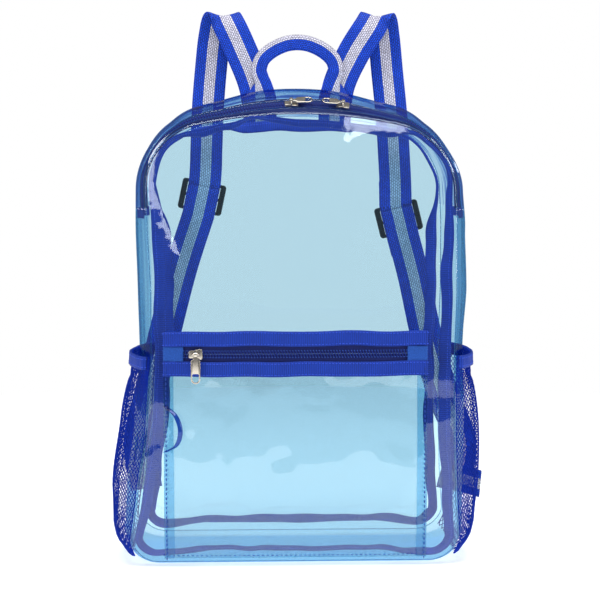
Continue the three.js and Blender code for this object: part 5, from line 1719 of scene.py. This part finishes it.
class CLEARPACK_OT_stage(bpy.types.Operator):
    """Makes the pale floor, the white studio and its lights, and sets the camera"""

    bl_idname = "clear_pack.stage"
    bl_label = "Studio and camera"

    def execute(self, context):
        scene = bpy.context.scene
        round_floor(1.1, 0.02)
        # Columns: name, place, target, width, height, radiance
        boxes = (
            ("overhead_softbox", (0.0, -0.35, 1.5), (0, 0, 0.2), 1.2, 0.8, 6.0),
            ("left_softbox", (-1.6, -0.9, 0.8), (0, 0, 0.25), 0.5, 1.2, 8.0),
            ("right_softbox", (1.6, -0.7, 0.7), (0, 0, 0.25), 0.5, 1.2, 8.0),
            ("left_strip", (-0.43, -1.43, 0.44), (-0.12, 0, 0.36), 0.11, 0.36, 5.0),
            ("upper_strip", (0.32, -1.25, 0.62), (0.09, 0, 0.38), 0.34, 0.09, 6.0),
            ("rear_left_softbox", (-1.0, 1.3, 0.95), (-0.1, 0, 0.38), 0.5, 0.5, 5.0),
            ("rear_right_softbox", (1.0, 1.3, 0.8), (0.1, 0, 0.38), 0.3, 0.5, 5.0),
            ("strap_fill", (0.0, -2.0, 0.55), (0, 0, 0.3), 1.2, 0.9, 8.0),
        )
        lights = [softbox(*box) for box in boxes]
        # The strips mark the front sheet alone, the rear boxes the sheets bent over the top and
        # sides, and the fill reaches the webbing behind the sheets
        webbing = [made for made in bpy.data.objects if made.name.endswith("_webbing")]
        front = [bpy.data.objects["front_sheet"]]
        bent = [made for made in bpy.data.objects if "gusset" in made.name]
        for light, lit in zip(lights[-5:], (front, front, bent, bent, webbing)):
            reached = bpy.data.collections.new(light.name + "_receivers")
            for made in lit:
                reached.objects.link(made)
            light.light_linking.receiver_collection = reached
        lights[-1].visible_glossy = False
        world = bpy.data.worlds.new("studio")
        scene.world = world
        world.use_nodes = True
        tree = world.node_tree
        tree.nodes.clear()
        path = add(tree, "ShaderNodeLightPath")
        # The camera sees white, glossy faces mirror a dark grey, and a paler grey lights the rest
        dim = {0: path.outputs["Is Glossy Ray"], 6: (0.36, 0.36, 0.36, 1), 7: (0.17, 0.18, 0.2, 1)}
        mirrored = add(tree, "ShaderNodeMix", dim, data_type="RGBA")
        white = {0: path.outputs["Is Camera Ray"], 6: mirrored.outputs[2], 7: (1, 1, 1, 1)}
        straight = add(tree, "ShaderNodeMix", white, data_type="RGBA")
        sky = add(tree, "ShaderNodeBackground", {"Color": straight.outputs[2]})
        add(tree, "ShaderNodeOutputWorld", {"Surface": sky.outputs[0]})
        scene.view_settings.view_transform = "Standard"
        scene.view_settings.look = "None"
        scene.cycles.transparent_max_bounces = 64
        data = bpy.data.cameras.new("camera")
        camera = linked("camera", data)
        scene.camera = camera
        data.sensor_width = 36
        data.lens = 96.64
        # The picture's middle lies 2 pixels left of the camera's axis and half a pixel above it
        photo_side = 600
        data.shift_x, data.shift_y = -2 / photo_side, 0.5 / photo_side
        data.clip_start, data.clip_end = 0.1, 20
        # The camera stands 1.5 m away, 2 degrees to the left, and looks 5 degrees down
        target, distance = Vector((0, 0, 0.235)), 1.5
        way = Vector((0.0348, 0.9956 * math.cos(math.radians(5)), -0.0872)).normalized()
        camera.location = target - way * distance
        camera.rotation_euler = way.to_track_quat("-Z", "Y").to_euler()
        return {"FINISHED"}


OPERATORS = (
    CLEARPACK_OT_sheets,
    CLEARPACK_OT_bindings,
    CLEARPACK_OT_main_zip,
    CLEARPACK_OT_pocket,
    CLEARPACK_OT_sliders,
    CLEARPACK_OT_nets,
    CLEARPACK_OT_straps,
    CLEARPACK_OT_handle,
    CLEARPACK_OT_stage,
)


class CLEARPACK_PT_panel(bpy.types.Panel):
    """Lists the steps that build the backpack"""

    bl_idname = "CLEARPACK_PT_panel"
    bl_label = "Clear backpack"
    bl_space_type = "VIEW_3D"
    bl_region_type = "UI"
    bl_category = "Backpack"

    def draw(self, context):
        for step in OPERATORS:
            self.layout.operator(step.bl_idname)


CLASSES = (
    BodySizes,
    TrimSizes,
    PocketSizes,
    NetSizes,
    WebbingSizes,
    Finishes,
    ClearBackpack,
    *OPERATORS,
    CLEARPACK_PT_panel,
)


def register():
    for kind in CLASSES:
        bpy.utils.register_class(kind)
    bpy.types.Scene.clear_backpack = PointerProperty(type=ClearBackpack)


def unregister():
    del bpy.types.Scene.clear_backpack
    for kind in reversed(CLASSES):
        bpy.utils.unregister_class(kind)


def main():
    register()
    for step in OPERATORS:
        group, name = step.bl_idname.split(".")
        getattr(getattr(bpy.ops, group), name)()
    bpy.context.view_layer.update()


if __name__ == "__main__":
    main()
